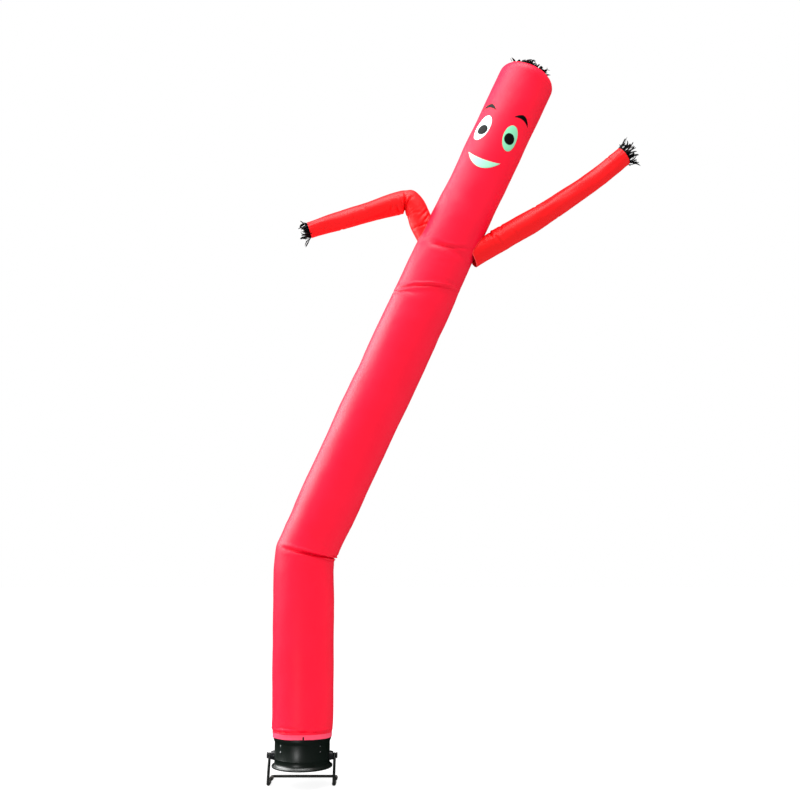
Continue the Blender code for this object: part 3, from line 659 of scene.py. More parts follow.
# Face patches, by their angle round the head and height along it from the neck point
NECK_TO_ROW = 0.140  # from the neck point up to the ring named neck
PATCH_THICK = 0.0010
Oval = namedtuple("Oval", "name angle along half_width half_height tilt lift slot cloth")
OVALS = [
    Oval("eye_left", 127.5, 0.628, 0.066, 0.115, -3, 0.0019, "white_nylon", "white_eye_nylon"),
    Oval("eye_right", 65.0, 0.626, 0.063, 0.109, 7, 0.0019, "mint_nylon", "mint_eye_nylon"),
    Oval("pupil_left", 125.5, 0.610, 0.045, 0.045, 0, 0.0034, "black_nylon", "black_patch_nylon"),
    Oval("pupil_right", 66.0, 0.617, 0.045, 0.047, 0, 0.0034, "black_nylon", "black_patch_nylon"),
]
Crescent = namedtuple("Crescent", "name angle half_angle along bow_upper bow_lower slot cloth")
CRESCENTS = [
    Crescent("brow_left", 134.5, 18.5, 0.800, 0.052, 0.018, "black_nylon", "black_patch_nylon"),
    Crescent("brow_right", 57.0, 19.0, 0.800, 0.052, 0.018, "black_nylon", "black_patch_nylon"),
    Crescent("mouth", 97.0, 36.0, 0.400, -0.034, -0.104, "mint_nylon", "mint_mouth_nylon"),
]
PATCH_LIFT = 0.0019  # how far a patch's face stands off the head
PATCH_SPOKES = 72
PATCH_LEVELS = (0.0, 0.15, 0.32, 0.5, 0.66, 0.8, 0.9, 0.955, 0.985, 1.0)
CRESCENT_STEPS, CRESCENT_LAYERS = 56, 8
CRESCENT_TIP = 0.0012  # half a crescent's height at its ends


def head_point(angle, along, lift):
    place = row_place(TRUNK_SLEEVE, "neck") - NECK_TO_ROW + along
    return skin_point(TRUNK_SLEEVE, angle % 360, place, lift)


def patch_piece(shape, bm):
    mesh = bpy.data.meshes.new(shape.name + "_cloth")
    bmesh.ops.remove_doubles(bm, verts=bm.verts[:], dist=0.00002)
    bmesh.ops.recalc_face_normals(bm, faces=bm.faces[:])
    outwards = sum((face.normal.dot(-Vector((0, 1, 0))) for face in bm.faces), 0.0)
    if outwards < 0:
        bmesh.ops.reverse_faces(bm, faces=bm.faces[:])
    bm.to_mesh(mesh)
    bm.free()
    piece = finish_mesh(thicken(put(shape.name + "_cloth", mesh), PATCH_THICK), 50)
    dress(piece, shape.name, PATCH_CLOTHS[shape.cloth])
    return piece


PATCH_STITCHES = 0.005  # how far inside its edge a patch is stitched


def edge_drop(depth):
    """A patch is sewn down: it dips over its last few millimetres and along its stitches."""
    edge = math.exp(-depth / 0.0022)
    stitches = math.exp(-(((depth - PATCH_STITCHES) / 0.0016) ** 2))
    return -0.0009 * edge - 0.0004 * stitches


def oval_piece(oval):
    bm = bmesh.new()
    edge = bm.verts.layers.float.new("edge")
    run = bm.verts.layers.float.new("run")
    tilt = math.radians(oval.tilt)
    rings = []
    mean = (oval.half_width + oval.half_height) / 2
    for level in PATCH_LEVELS:
        ring = []
        for i in range(PATCH_SPOKES):
            turn = math.tau * i / PATCH_SPOKES
            wide = oval.half_width * level * math.cos(turn)
            high = oval.half_height * level * math.sin(turn)
            side = wide * math.cos(tilt) - high * math.sin(tilt)
            rise = wide * math.sin(tilt) + high * math.cos(tilt)
            depth = (1 - level) * mean
            angle = oval.angle - math.degrees(side / HEAD_RADIUS)
            vert = bm.verts.new(head_point(angle, oval.along + rise, oval.lift + edge_drop(depth)))
            vert[edge] = depth
            vert[run] = mean * turn
            ring.append(vert)
        rings.append(ring)
    for inner, outer in zip(rings, rings[1:]):
        for i in range(PATCH_SPOKES):
            j = (i + 1) % PATCH_SPOKES
            bm.faces.new((inner[i], outer[i], outer[j], inner[j]))
    piece = patch_piece(oval, bm)
    wide, high = 2 * oval.half_width, 2 * oval.half_height


def crescent_piece(crescent):
    bm = bmesh.new()
    edge = bm.verts.layers.float.new("edge")
    run = bm.verts.layers.float.new("run")
    columns = []
    for i in range(CRESCENT_STEPS + 1):
        turn = math.sin((2 * i / CRESCENT_STEPS - 1) * math.pi / 2)
        belly = 1 - turn * turn
        angle = crescent.angle - crescent.half_angle * turn
        upper = crescent.bow_upper * belly + CRESCENT_TIP
        lower = crescent.bow_lower * belly - CRESCENT_TIP
        column = []
        for k in range(CRESCENT_LAYERS + 1):
            share = 0.5 - 0.5 * math.cos(math.pi * k / CRESCENT_LAYERS)
            rise = lower + (upper - lower) * share
            depth = (upper - lower) * min(share, 1 - share)
            vert = bm.verts.new(head_point(angle, crescent.along + rise, PATCH_LIFT + edge_drop(depth)))
            vert[edge] = depth
            vert[run] = math.radians(angle) * HEAD_RADIUS
            column.append(vert)
        columns.append(column)
    for left, right in zip(columns, columns[1:]):
        for k in range(CRESCENT_LAYERS):
            bm.faces.new((left[k], right[k], right[k + 1], left[k + 1]))
    piece = patch_piece(crescent, bm)


def build_face():
    for oval in OVALS:
        oval_piece(oval)
    for crescent in CRESCENTS:
        crescent_piece(crescent)


def dress(piece, node, material):
    """Gives a piece its finish, sets it on the body and hides the model's part for its node."""
    piece.data.materials.clear()
    piece.data.materials.append(material)
    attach(piece, "root")
    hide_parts(node)
    return piece


# Shader groups


def new_group(name, inputs, outputs):
    """A shader group with named sockets: inputs are (name, kind, value), outputs (name, kind)."""
    group = bpy.data.node_groups.new(name, "ShaderNodeTree")
    for label, kind, value in inputs:
        socket = group.interface.new_socket(label, in_out="INPUT", socket_type=f"NodeSocket{kind}")
        if value is not None:
            socket.default_value = value
    for label, kind in outputs:
        group.interface.new_socket(label, in_out="OUTPUT", socket_type=f"NodeSocket{kind}")
    return group, group.nodes.new("NodeGroupInput"), group.nodes.new("NodeGroupOutput")


def add_node(tree, kind, values=(), **settings):
    """A node with its settings, its input values and links by socket name or number."""
    node = tree.nodes.new(f"ShaderNode{kind}")
    for name, value in settings.items():
        setattr(node, name, value)
    for name, value in dict(values).items():
        if isinstance(value, bpy.types.NodeSocket):
            tree.links.new(value, node.inputs[name])
        else:
            node.inputs[name].default_value = value
    return node


def maths(tree, operation, first, second=0.0, third=0.0, clamp=False):
    values = {0: first, 1: second, 2: third}
    node = add_node(tree, "Math", values, operation=operation, use_clamp=clamp)
    return node.outputs[0]


def noise_of(tree, vector, scale, detail=2.0, roughness=0.5, distortion=0.0):
    values = {"Vector": vector, "Scale": scale, "Detail": detail}
    values |= {"Roughness": roughness, "Distortion": distortion}
    return add_node(tree, "TexNoise", values).outputs["Fac"]


def build_weave():
    """Plain weave: threads over and under, from a flat cloth coordinate in metres."""
    group, given, result = new_group(
        "plain_weave", [("Cloth", "Vector", None), ("Threads", "Float", 900.0)], [("Height", "Float")]
    )
    turned = maths(group, "MULTIPLY", given.outputs["Threads"], math.pi)
    parts = add_node(group, "SeparateXYZ", {0: given.outputs["Cloth"]})
    warp = maths(group, "SINE", maths(group, "MULTIPLY", parts.outputs["X"], turned))
    weft = maths(group, "SINE", maths(group, "MULTIPLY", parts.outputs["Y"], turned))
    crossed = maths(group, "MULTIPLY", warp, weft)
    height = maths(group, "MULTIPLY_ADD", crossed, 0.5, 0.5)
    group.links.new(height, result.inputs["Height"])
    return group


def build_crinkle():
    """Fine crumples, stronger where the cloth is slack."""
    group, given, result = new_group(
        "crinkle",
        [("Cloth", "Vector", None), ("Slack", "Float", 0.0), ("Scale", "Float", 26.0)],
        [("Height", "Float"), ("Blotch", "Float")],
    )
    cloth, scale = given.outputs["Cloth"], given.outputs["Scale"]
    bent = noise_of(group, cloth, maths(group, "MULTIPLY", scale, 0.4), 2.0)
    folds = noise_of(group, cloth, scale, 3.0, 0.55, 0.9)
    ridge = maths(group, "ABSOLUTE", maths(group, "SUBTRACT", folds, 0.5))
    sharp = maths(group, "SUBTRACT", 1.0, maths(group, "MULTIPLY", ridge, 4.0), clamp=True)
    force = maths(group, "MULTIPLY_ADD", given.outputs["Slack"], 0.85, 0.15)
    height = maths(group, "MULTIPLY", sharp, force)
    group.links.new(maths(group, "MULTIPLY_ADD", bent, 0.5, height), result.inputs["Height"])
    group.links.new(noise_of(group, cloth, 3.1, 3.0, 0.6), result.inputs["Blotch"])
    return group


def build_stitches():
    """One row of stitches at a distance from an edge, as a mask and a dip."""
    group, given, result = new_group(
        "stitch_row",
        [
            ("Distance", "Float", 0.0), ("Run", "Float", 0.0),
            ("At", "Float", 0.005), ("Stitch", "Float", 0.004),
        ],
        [("Thread", "Float"), ("Dip", "Float")],
    )
    away = maths(group, "ABSOLUTE", maths(group, "SUBTRACT", given.outputs["Distance"], given.outputs["At"]))
    line = maths(group, "SUBTRACT", 1.0, maths(group, "DIVIDE", away, 0.0011), clamp=True)
    step = maths(group, "FRACT", maths(group, "DIVIDE", given.outputs["Run"], given.outputs["Stitch"]))
    dash = maths(group, "LESS_THAN", step, 0.72)
    group.links.new(maths(group, "MULTIPLY", line, dash), result.inputs["Thread"])
    dip = maths(group, "SUBTRACT", 1.0, maths(group, "DIVIDE", away, 0.0035), clamp=True)
    group.links.new(dip, result.inputs["Dip"])
    return group


def build_ripstop():
    """The stouter threads that cross a light nylon in squares."""
    group, given, result = new_group(
        "ripstop", [("Cloth", "Vector", None), ("Square", "Float", 0.0075)], [("Line", "Float")]
    )
    parts = add_node(group, "SeparateXYZ", {0: given.outputs["Cloth"]})
    lines = []
    for way in ("X", "Y"):
        turned = maths(group, "MULTIPLY", parts.outputs[way], math.pi)
        turned = maths(group, "DIVIDE", turned, given.outputs["Square"])
        wave = maths(group, "ABSOLUTE", maths(group, "COSINE", turned))
        lines.append(maths(group, "POWER", wave, 30.0))
    group.links.new(maths(group, "MAXIMUM", *lines), result.inputs["Line"])
    return group


WEAVE, CRINKLE, STITCHES, RIPSTOP = build_weave(), build_crinkle(), build_stitches(), build_ripstop()


def use_group(tree, group, values):
    node = tree.nodes.new("ShaderNodeGroup")
    node.node_tree = group
    for name, value in values.items():
        if isinstance(value, bpy.types.NodeSocket):
            tree.links.new(value, node.inputs[name])
        else:
            node.inputs[name].default_value = value
    return node


def new_material(name, **sockets):
    """A material whose Principled shader has these plain values."""
    material = bpy.data.materials.new(name)
    material.use_nodes = True
    shader = material.node_tree.nodes["Principled BSDF"]
    for label, value in sockets.items():
        shader.inputs[label.replace("_", " ")].default_value = value
    return material, material.node_tree, shader


def blend(tree, factor, first, second):
    """A colour between two colours."""
    node = tree.nodes.new("ShaderNodeMix")
    node.data_type = "RGBA"
    for index, value in ((0, factor), (6, first), (7, second)):
        if isinstance(value, bpy.types.NodeSocket):
            tree.links.new(value, node.inputs[index])
        else:
            node.inputs[index].default_value = value
    return node.outputs[2]


def bumped(tree, height, distance, strength, under=None):
    """A surface normal with a relief on it, laid over the relief under it."""
    values = {"Height": height, "Distance": distance, "Strength": strength}
    if under is not None:
        values["Normal"] = under
    return add_node(tree, "Bump", values).outputs["Normal"]


HAND_STITCHES = 0.014  # how far from its last ring a sleeve is stitched
SEAM_STITCHES = 0.006  # how far from the back seam its rows of stitches run, on both sides


def sleeve_material(name, deep, light, hem, rough, hem_height):
    """Coated nylon of a sleeve, by its flat cloth coordinate: u round it and v along it, in metres."""
    material, tree, shader = new_material(name, Specular_IOR_Level=0.17)
    cloth = add_node(tree, "UVMap", uv_map="cloth").outputs["UV"]
    slack = add_node(tree, "Attribute", attribute_name="slack").outputs["Fac"]
    to_end = add_node(tree, "Attribute", attribute_name="to_end").outputs["Fac"]
    parts = add_node(tree, "SeparateXYZ", {0: cloth})
    weave = use_group(tree, WEAVE, {"Cloth": cloth, "Threads": 900.0})
    ripstop = use_group(tree, RIPSTOP, {"Cloth": cloth, "Square": 0.0075})
    crinkle = use_group(tree, CRINKLE, {"Cloth": cloth, "Slack": slack, "Scale": 24.0})
    from_seam = add_node(tree, "Attribute", attribute_name="from_seam").outputs["Fac"]
    around, upward = parts.outputs["X"], parts.outputs["Y"]
    thread = dip = 0.0
    for distance, run, at in (
        (upward, around, hem_height), (to_end, around, HAND_STITCHES), (from_seam, upward, SEAM_STITCHES)
    ):
        row = use_group(tree, STITCHES, {"Distance": distance, "Run": run, "At": at, "Stitch": 0.005})
        thread = maths(tree, "MAXIMUM", row.outputs["Thread"], thread)
        dip = maths(tree, "MAXIMUM", row.outputs["Dip"], dip)
    colour = blend(tree, crinkle.outputs["Blotch"], deep, light)
    colour = blend(tree, maths(tree, "MULTIPLY", ripstop.outputs["Line"], 0.12), colour, light)
    # The hem band is a paler pink: partly the doubled cloth, partly a painted highlight.
    band = maths(tree, "LESS_THAN", parts.outputs["Y"], hem_height)
    colour = blend(tree, maths(tree, "MULTIPLY", band, 0.6), colour, hem)
    colour = blend(tree, maths(tree, "MULTIPLY", thread, 0.7), colour, hem)
    tree.links.new(colour, shader.inputs["Base Color"])
    worn = maths(tree, "MULTIPLY_ADD", crinkle.outputs["Blotch"], 0.14, rough - 0.07)
    dull = maths(tree, "MULTIPLY_ADD", weave.outputs["Height"], 0.04, worn)
    tree.links.new(dull, shader.inputs["Roughness"])
    folds = bumped(tree, crinkle.outputs["Height"], 0.0020, 0.6)
    sewn = bumped(tree, maths(tree, "SUBTRACT", thread, dip), 0.0012, 0.8, folds)
    grid = bumped(tree, ripstop.outputs["Line"], 0.0001, 0.4, sewn)
    threads = bumped(tree, weave.outputs["Height"], 0.0001, 0.5, grid)
    tree.links.new(threads, shader.inputs["Normal"])
    return material


def patch_material(name, colour, shade, rough, thread):
    """Nylon of a face patch, stitched near its edge."""
    colour, shade, thread = ((*tone, 1) for tone in (colour, shade, thread))
    material, tree, shader = new_material(name, Specular_IOR_Level=0.12)
    cloth = add_node(tree, "TexCoord").outputs["Object"]
    edge = add_node(tree, "Attribute", attribute_name="edge").outputs["Fac"]
    run = add_node(tree, "Attribute", attribute_name="run").outputs["Fac"]
    crinkle = use_group(tree, CRINKLE, {"Cloth": cloth, "Slack": 0.3, "Scale": 30.0})
    stitch = use_group(tree, STITCHES, {"Distance": edge, "Run": run, "At": PATCH_STITCHES, "Stitch": 0.004})
    mixed = blend(tree, crinkle.outputs["Blotch"], colour, shade)
    mixed = blend(tree, stitch.outputs["Thread"], mixed, thread)
    tree.links.new(mixed, shader.inputs["Base Color"])
    worn = maths(tree, "MULTIPLY_ADD", crinkle.outputs["Blotch"], 0.15, rough)
    tree.links.new(worn, shader.inputs["Roughness"])
    height = maths(tree, "MULTIPLY_ADD", crinkle.outputs["Height"], 0.6, stitch.outputs["Thread"])
    height = maths(tree, "SUBTRACT", height, stitch.outputs["Dip"])
    tree.links.new(bumped(tree, height, 0.001, 0.6), shader.inputs["Normal"])
    return material


def fringe_material(name):
    """Black nylon strips, a little paler and rougher at their cut tips."""
    material, tree, shader = new_material(name, Specular_IOR_Level=0.10)
    cloth = add_node(tree, "TexCoord").outputs["Object"]
    run = add_node(tree, "Attribute", attribute_name="run").outputs["Fac"]
    crinkle = use_group(tree, CRINKLE, {"Cloth": cloth, "Slack": 1.0, "Scale": 70.0})
    tip = maths(tree, "POWER", run, 3.0)
    colour = blend(tree, tip, (0.002, 0.002, 0.003, 1), (0.007, 0.009, 0.010, 1))
    tree.links.new(colour, shader.inputs["Base Color"])
    worn = maths(tree, "MULTIPLY_ADD", crinkle.outputs["Blotch"], 0.3, 0.32)
    tree.links.new(worn, shader.inputs["Roughness"])
    tree.links.new(bumped(tree, crinkle.outputs["Height"], 0.001, 0.6), shader.inputs["Normal"])
    return material


# In both sleeve cloths the third colour is the paler hem band, partly doubled cloth and partly a painted
# highlight, and the colour of the stitches.
RED_CLOTH = sleeve_material(
    "rose_red_nylon", (0.78, 0.001, 0.022, 1), (0.86, 0.004, 0.032, 1), (0.86, 0.10, 0.19, 1),
    rough=0.44, hem_height=0.034,
)
ORANGE_CLOTH = sleeve_material(
    "orange_red_nylon_cloth", (0.74, 0.002, 0.004, 1), (0.84, 0.005, 0.008, 1), (0.86, 0.06, 0.06, 1),
    rough=0.43, hem_height=0.006,
)


def build_wear():
    """Grain of a moulded or coated surface, and where dust has settled on it."""
    group, given, result = new_group(
        "surface_wear",
        [("Where", "Vector", None), ("Grain", "Float", 900.0), ("Floor dust", "Float", 0.0)],
        [("Height", "Float"), ("Patches", "Float"), ("Dust", "Float")],
    )
    where = given.outputs["Where"]
    group.links.new(noise_of(group, where, given.outputs["Grain"], 2.0), result.inputs["Height"])
    patches = noise_of(group, where, 14.0, 4.0, 0.6)
    group.links.new(patches, result.inputs["Patches"])
    height = add_node(group, "SeparateXYZ", {0: where}).outputs["Z"]
    low = maths(group, "SUBTRACT", 1.0, maths(group, "DIVIDE", height, 0.12), clamp=True)
    specks = maths(group, "GREATER_THAN", noise_of(group, where, 260.0, 3.0, 0.7), 0.62)
    dust = maths(group, "MULTIPLY", maths(group, "MULTIPLY_ADD", specks, 0.5, patches), low)
    group.links.new(maths(group, "MULTIPLY", dust, given.outputs["Floor dust"]), result.inputs["Dust"])
    return group


WEAR = build_wear()
DUST = (0.16, 0.15, 0.14, 1)


def hard_material(name, colour, worn, rough, grain, relief_depth, dust, **sockets):
    """Paint, plastic, rubber or metal: two tones in patches, a fine grain and dust near the floor."""
    material, tree, shader = new_material(name, **sockets)
    where = add_node(tree, "TexCoord").outputs["Object"]
    wear = use_group(tree, WEAR, {"Where": where, "Grain": grain, "Floor dust": dust})
    mixed = blend(tree, wear.outputs["Patches"], colour, worn)
    mixed = blend(tree, wear.outputs["Dust"], mixed, DUST)
    tree.links.new(mixed, shader.inputs["Base Color"])
    dull = maths(tree, "MULTIPLY_ADD", wear.outputs["Patches"], 0.14, rough - 0.07)
    dull = maths(tree, "ADD", dull, maths(tree, "MULTIPLY", wear.outputs["Dust"], 0.4), clamp=True)
    tree.links.new(dull, shader.inputs["Roughness"])
    tree.links.new(bumped(tree, wear.outputs["Height"], relief_depth, 0.5), shader.inputs["Normal"])
    return material


POWDER_COAT = hard_material(
    "black_powder_coat", (0.002, 0.003, 0.003, 1), (0.005, 0.007, 0.006, 1), 0.34, 700.0, 0.0002, 0.18,
    Specular_IOR_Level=0.35,
)
DRUM_PAINT = hard_material(
    "black_drum_paint", (0.002, 0.005, 0.003, 1), (0.004, 0.008, 0.006, 1), 0.36, 700.0, 0.0002, 0.06,
    Specular_IOR_Level=0.70,
)
MOULDED_PLASTIC = hard_material(
    "moulded_black_plastic", (0.007, 0.008, 0.009, 1), (0.014, 0.015, 0.017, 1), 0.30, 1100.0, 0.0001, 0.15,
    Specular_IOR_Level=0.35,
)
RUBBER = hard_material(
    "matt_black_rubber", (0.010, 0.010, 0.010, 1), (0.020, 0.020, 0.020, 1), 0.72, 1500.0, 0.0002, 0.9,
    Specular_IOR_Level=0.25,
)
ZINC = hard_material(
    "zinc_plate", (0.55, 0.57, 0.60, 1), (0.70, 0.72, 0.74, 1), 0.34, 900.0, 0.0001, 0.0, Metallic=1.0
)
CASTING = hard_material(
    "dark_grey_casting", (0.05, 0.05, 0.055, 1), (0.09, 0.09, 0.095, 1), 0.52, 600.0, 0.0003, 0.2,
    Metallic=0.5,
)
BLACK_CLOTH = fringe_material("black_fringe_nylon")

# Cloth of the face patches: two tones, its roughness and the colour of its thread
PatchCloth = namedtuple("PatchCloth", "name colour shade rough thread")
PATCH_CLOTHS = {
    row.name: patch_material(*row)
    for row in (
        PatchCloth("white_eye_nylon", (0.52, 0.64, 0.61), (0.60, 0.68, 0.66), 0.45, (0.5, 0.6, 0.56)),
        PatchCloth("mint_eye_nylon", (0.18, 0.58, 0.34), (0.24, 0.64, 0.41), 0.45, (0.16, 0.5, 0.32)),
        PatchCloth("mint_mouth_nylon", (0.26, 0.60, 0.40), (0.36, 0.66, 0.50), 0.45, (0.24, 0.5, 0.36)),
        PatchCloth("black_patch_nylon", (0.001, 0.002, 0.002), (0.003, 0.005, 0.004), 0.50, (0.02,) * 3),
    )
}

# Blower and stand, shaped in edit mode. Outlines are (radius, height) pairs.
BARREL_RADIUS = 0.204
DRUM_OUTLINE = [
    (0.2118, 0.3680), (0.2134, 0.3674), (0.2142, 0.3655), (0.2140, 0.3620), (0.2140, 0.3345),
    (0.2128, 0.3290), (0.2100, 0.3225), (0.2070, 0.3150), (0.2050, 0.3105), (0.2040, 0.3060),
    (0.2040, 0.2000), (0.2052, 0.1975), (0.2059, 0.1945), (0.2052, 0.1915), (0.2040, 0.1890),
    (0.2040, 0.1660), (0.2052, 0.1600), (0.2085, 0.1525), (0.2140, 0.1475), (0.2205, 0.1432),
    (0.2228, 0.1420), (0.2238, 0.1395), (0.2238, 0.1330), (0.2230, 0.1308), (0.2212, 0.1300),
    (0.2200, 0.1312), (0.2200, 0.1385), (0.2140, 0.1430), (0.2070, 0.1490), (0.2025, 0.1590),
    (0.2014, 0.1640), (0.2014, 0.3090), (0.2030, 0.3150), (0.2080, 0.3280), (0.2110, 0.3365),
    (0.2110, 0.3660),
]
RIVET_OUTLINE = [
    (0.0007, 0.0019), (0.0013, 0.0021), (0.0019, 0.0029), (0.0034, 0.0027), (0.0047, 0.0019),
    (0.0055, 0.0007), (0.0055, -0.0003),
]
MOTOR_OUTLINE = [
    (0.0100, 0.2150), (0.0400, 0.2150), (0.0580, 0.2165), (0.0680, 0.2200), (0.0702, 0.2240),
    (0.0702, 0.2300), (0.0718, 0.2310), (0.0718, 0.3150), (0.0702, 0.3160), (0.0702, 0.3230),
    (0.0670, 0.3280), (0.0550, 0.3310), (0.0400, 0.3320), (0.0100, 0.3320),
]
HUB_OUTLINE = [
    (0.0080, 0.1762), (0.0160, 0.1750), (0.0340, 0.1762), (0.0425, 0.1795), (0.0458, 0.1850),
    (0.0460, 0.2120), (0.0450, 0.2145), (0.0120, 0.2145),
]
BOSS_OUTLINE = [
    (0.0100, -0.0026), (0.0325, -0.0026), (0.0340, -0.0010), (0.0340, 0.0100), (0.0332, 0.0116),
    (0.0312, 0.0124), (0.0308, 0.0140), (0.0308, 0.0215), (0.0300, 0.0240), (0.0280, 0.0253),
    (0.0100, 0.0253),
]
KNOB_OUTLINE = [
    (0.0080, 0.0000), (0.0190, 0.0000), (0.0214, 0.0010), (0.0220, 0.0028), (0.0220, 0.0074),
    (0.0212, 0.0090), (0.0194, 0.0099), (0.0120, 0.0099), (0.0108, 0.0090), (0.0104, 0.0078),
    (0.0062, 0.0078), (0.0056, 0.0086), (0.0020, 0.0089),
]
CAP_OUTLINE = [
    (0.0044, 0.0224), (0.0068, 0.0221), (0.0087, 0.0206), (0.0095, 0.0185), (0.0095, 0.0120),
    (0.0102, 0.0114), (0.0102, 0.0084), (0.0044, 0.0084),
]
NUT_OUTLINE = [
    (0.0128, 0.0082), (0.0134, 0.0076), (0.0134, 0.0004), (0.0128, 0.0000), (0.0044, 0.0000),
    (0.0044, 0.0082),
]
SLEEVE_LENGTH = 0.060
SLEEVE_OUTSIDE = 0.01495
SLEEVE_GROOVE = 0.0139
SLEEVE_BORE = 0.0113
SLEEVE_GROOVES = 5
FRONT_SLEEVE_Y, REAR_SLEEVE_Y = -0.045, 0.118

STRUT_ANGLES = (45, 135, 225, 315)
STRUT_INNER, STRUT_OUTER = 0.0723, 0.2004
GROOVE_LOW, GROOVE_HIGH = 0.235, 0.311  # the cooling grooves of the motor's case
RIVET_HEIGHTS = (0.256, 0.299)
GUARD_Z = 0.1642
GUARD_RINGS = (0.055, 0.100, 0.145)
GUARD_ANGLES = (10, 70, 130)
GUARD_REACH = 0.190
LEG_X = 0.2405
LEG_TOP_Z = 0.226
LEG_FOOT_Y = -0.080
REAR_BAR_Y = 0.205
SKID_Z = 0.01497
TUBE_RADIUS = 0.0105
TUBE_BEND = 0.022
PIVOT_Z = 0.207


def begin_edit(piece, mode="VERT"):
    """Opens a piece for shaping with all of it selected."""
    only(piece)
    bpy.ops.object.mode_set(mode="EDIT")
    bpy.ops.mesh.select_mode(type=mode)
    bpy.ops.mesh.select_all(action="SELECT")
    return piece


def end_edit():
    """Turns all faces outwards and closes the piece."""
    bpy.ops.mesh.select_all(action="SELECT")
    bpy.ops.mesh.normals_make_consistent(inside=False)
    bpy.ops.object.mode_set(mode="OBJECT")
    return bpy.context.object


def named(name):
    """Names what an operator has just added."""
    piece = bpy.context.object
    piece.name = piece.data.name = name
    return piece


def pick(piece, kind, chosen):
    """Selects the points or faces of a piece that pass a test, and leaves it open for shaping."""
    begin_edit(piece, "VERT" if kind == "vertices" else "FACE")
    bpy.ops.mesh.select_all(action="DESELECT")
    bpy.ops.object.mode_set(mode="OBJECT")
    for item in getattr(piece.data, kind):
        item.select = chosen(item.co if kind == "vertices" else item.center)
    bpy.ops.object.mode_set(mode="EDIT")


def lathe(name, outline, sides, ring=False):
    """Raises a circle through an outline. A ring's last circle meets its first; other ends are capped."""
    radius, height = outline[0]
    bpy.ops.mesh.primitive_circle_add(vertices=sides, radius=radius)
    begin_edit(named(name))
    bpy.ops.transform.translate(value=(0, 0, height))
    if not ring:
        bpy.ops.mesh.edge_face_add()
    for wide, high in outline[1:] + (outline[:1] if ring else []):
        bpy.ops.mesh.extrude_edges_move(TRANSFORM_OT_translate={"value": (0, 0, high - height)})
        share = wide / radius
        bpy.ops.transform.resize(value=(share, share, 1), center_override=(0, 0, high))
        radius, height = wide, high
    if ring:
        bpy.ops.mesh.select_all(action="SELECT")
        bpy.ops.mesh.remove_doubles(threshold=0.00001)
    else:
        bpy.ops.mesh.edge_face_add()
    return end_edit()


def set_down(piece, place=(0, 0, 0), turn=(0, 0, 0)):
    """Turns a piece by degrees, moves it from the blower's axis and fixes both in its mesh."""
    only(piece)
    piece.rotation_euler = [math.radians(part) for part in turn]
    piece.location = AXIS + Vector(place)
    bpy.ops.object.transform_apply(location=True, rotation=True, scale=True)
    return piece


def join(*pieces):
    only(*reversed(pieces))
    bpy.ops.object.join()
    return bpy.context.object


def polar(radius, angle, height):
    angle = math.radians(angle)
    return Vector((radius * math.cos(angle), radius * math.sin(angle), height))


def build_drum():
    drum = set_down(lathe("drum_shell", DRUM_OUTLINE, 112, ring=True))
    dress(finish_mesh(drum, 50), "blower_drum", DRUM_PAINT)
    places = [(angle, height) for angle in STRUT_ANGLES for height in RIVET_HEIGHTS]
    for n, (angle, height) in enumerate(places, start=1):
        rivet = lathe(f"rivet_head_{n}", RIVET_OUTLINE, 24)
        set_down(rivet, polar(BARREL_RADIUS + 0.0003, angle, height), (0, 90, angle))
        dress(finish_mesh(rivet, 40), f"rivet_{n}", ZINC)


def build_motor():
    sides = 72
    motor = lathe("motor_case", MOTOR_OUTLINE, sides)

    def groove(centre):
        column = int(math.degrees(math.atan2(centre.y, centre.x)) % 360 / (360 / sides))
        outside = math.hypot(centre.x, centre.y) > 0.069
        return GROOVE_LOW < centre.z < GROOVE_HIGH and outside and column % 3 == 0

    pick(motor, "polygons", groove)
    bpy.ops.mesh.extrude_region_move()
    middle = (GROOVE_LOW + GROOVE_HIGH) / 2
    bpy.ops.transform.resize(value=(0.945, 0.945, 0.96), center_override=(0, 0, middle))
    set_down(end_edit())
    dress(finish_mesh(motor, 35), "blower_motor", CASTING)
    for n, angle in enumerate(STRUT_ANGLES, start=1):
        bpy.ops.mesh.primitive_cube_add(size=1)
        strut = begin_edit(named(f"strut_plate_{n}"), "FACE")
        bpy.ops.transform.resize(value=(STRUT_OUTER - STRUT_INNER, 0.004, 0.066))
        bpy.ops.object.mode_set(mode="OBJECT")
        pick(strut, "polygons", lambda centre: abs(centre.y) > 0.0015)
        bpy.ops.mesh.inset(thickness=0.012, depth=0, use_individual=True)
        bpy.ops.mesh.inset(thickness=0.003, depth=-0.0012, use_individual=True)
        bpy.ops.mesh.select_all(action="SELECT")
        bpy.ops.mesh.bevel(offset=0.0006, segments=2, affect="EDGES")
        end_edit()
        place = polar((STRUT_INNER + STRUT_OUTER) / 2, angle, sum(RIVET_HEIGHTS) / 2)
        set_down(strut, place, (0, 0, angle))
        dress(finish_mesh(strut, 35), f"motor_strut_{n}", POWDER_COAT)


BLADES = 6
BLADE_ROOT, BLADE_TIP = 0.040, 0.192
BLADE_COLUMNS = 10
BLADE_CHORD = 0.062
BLADE_Z = 0.1947


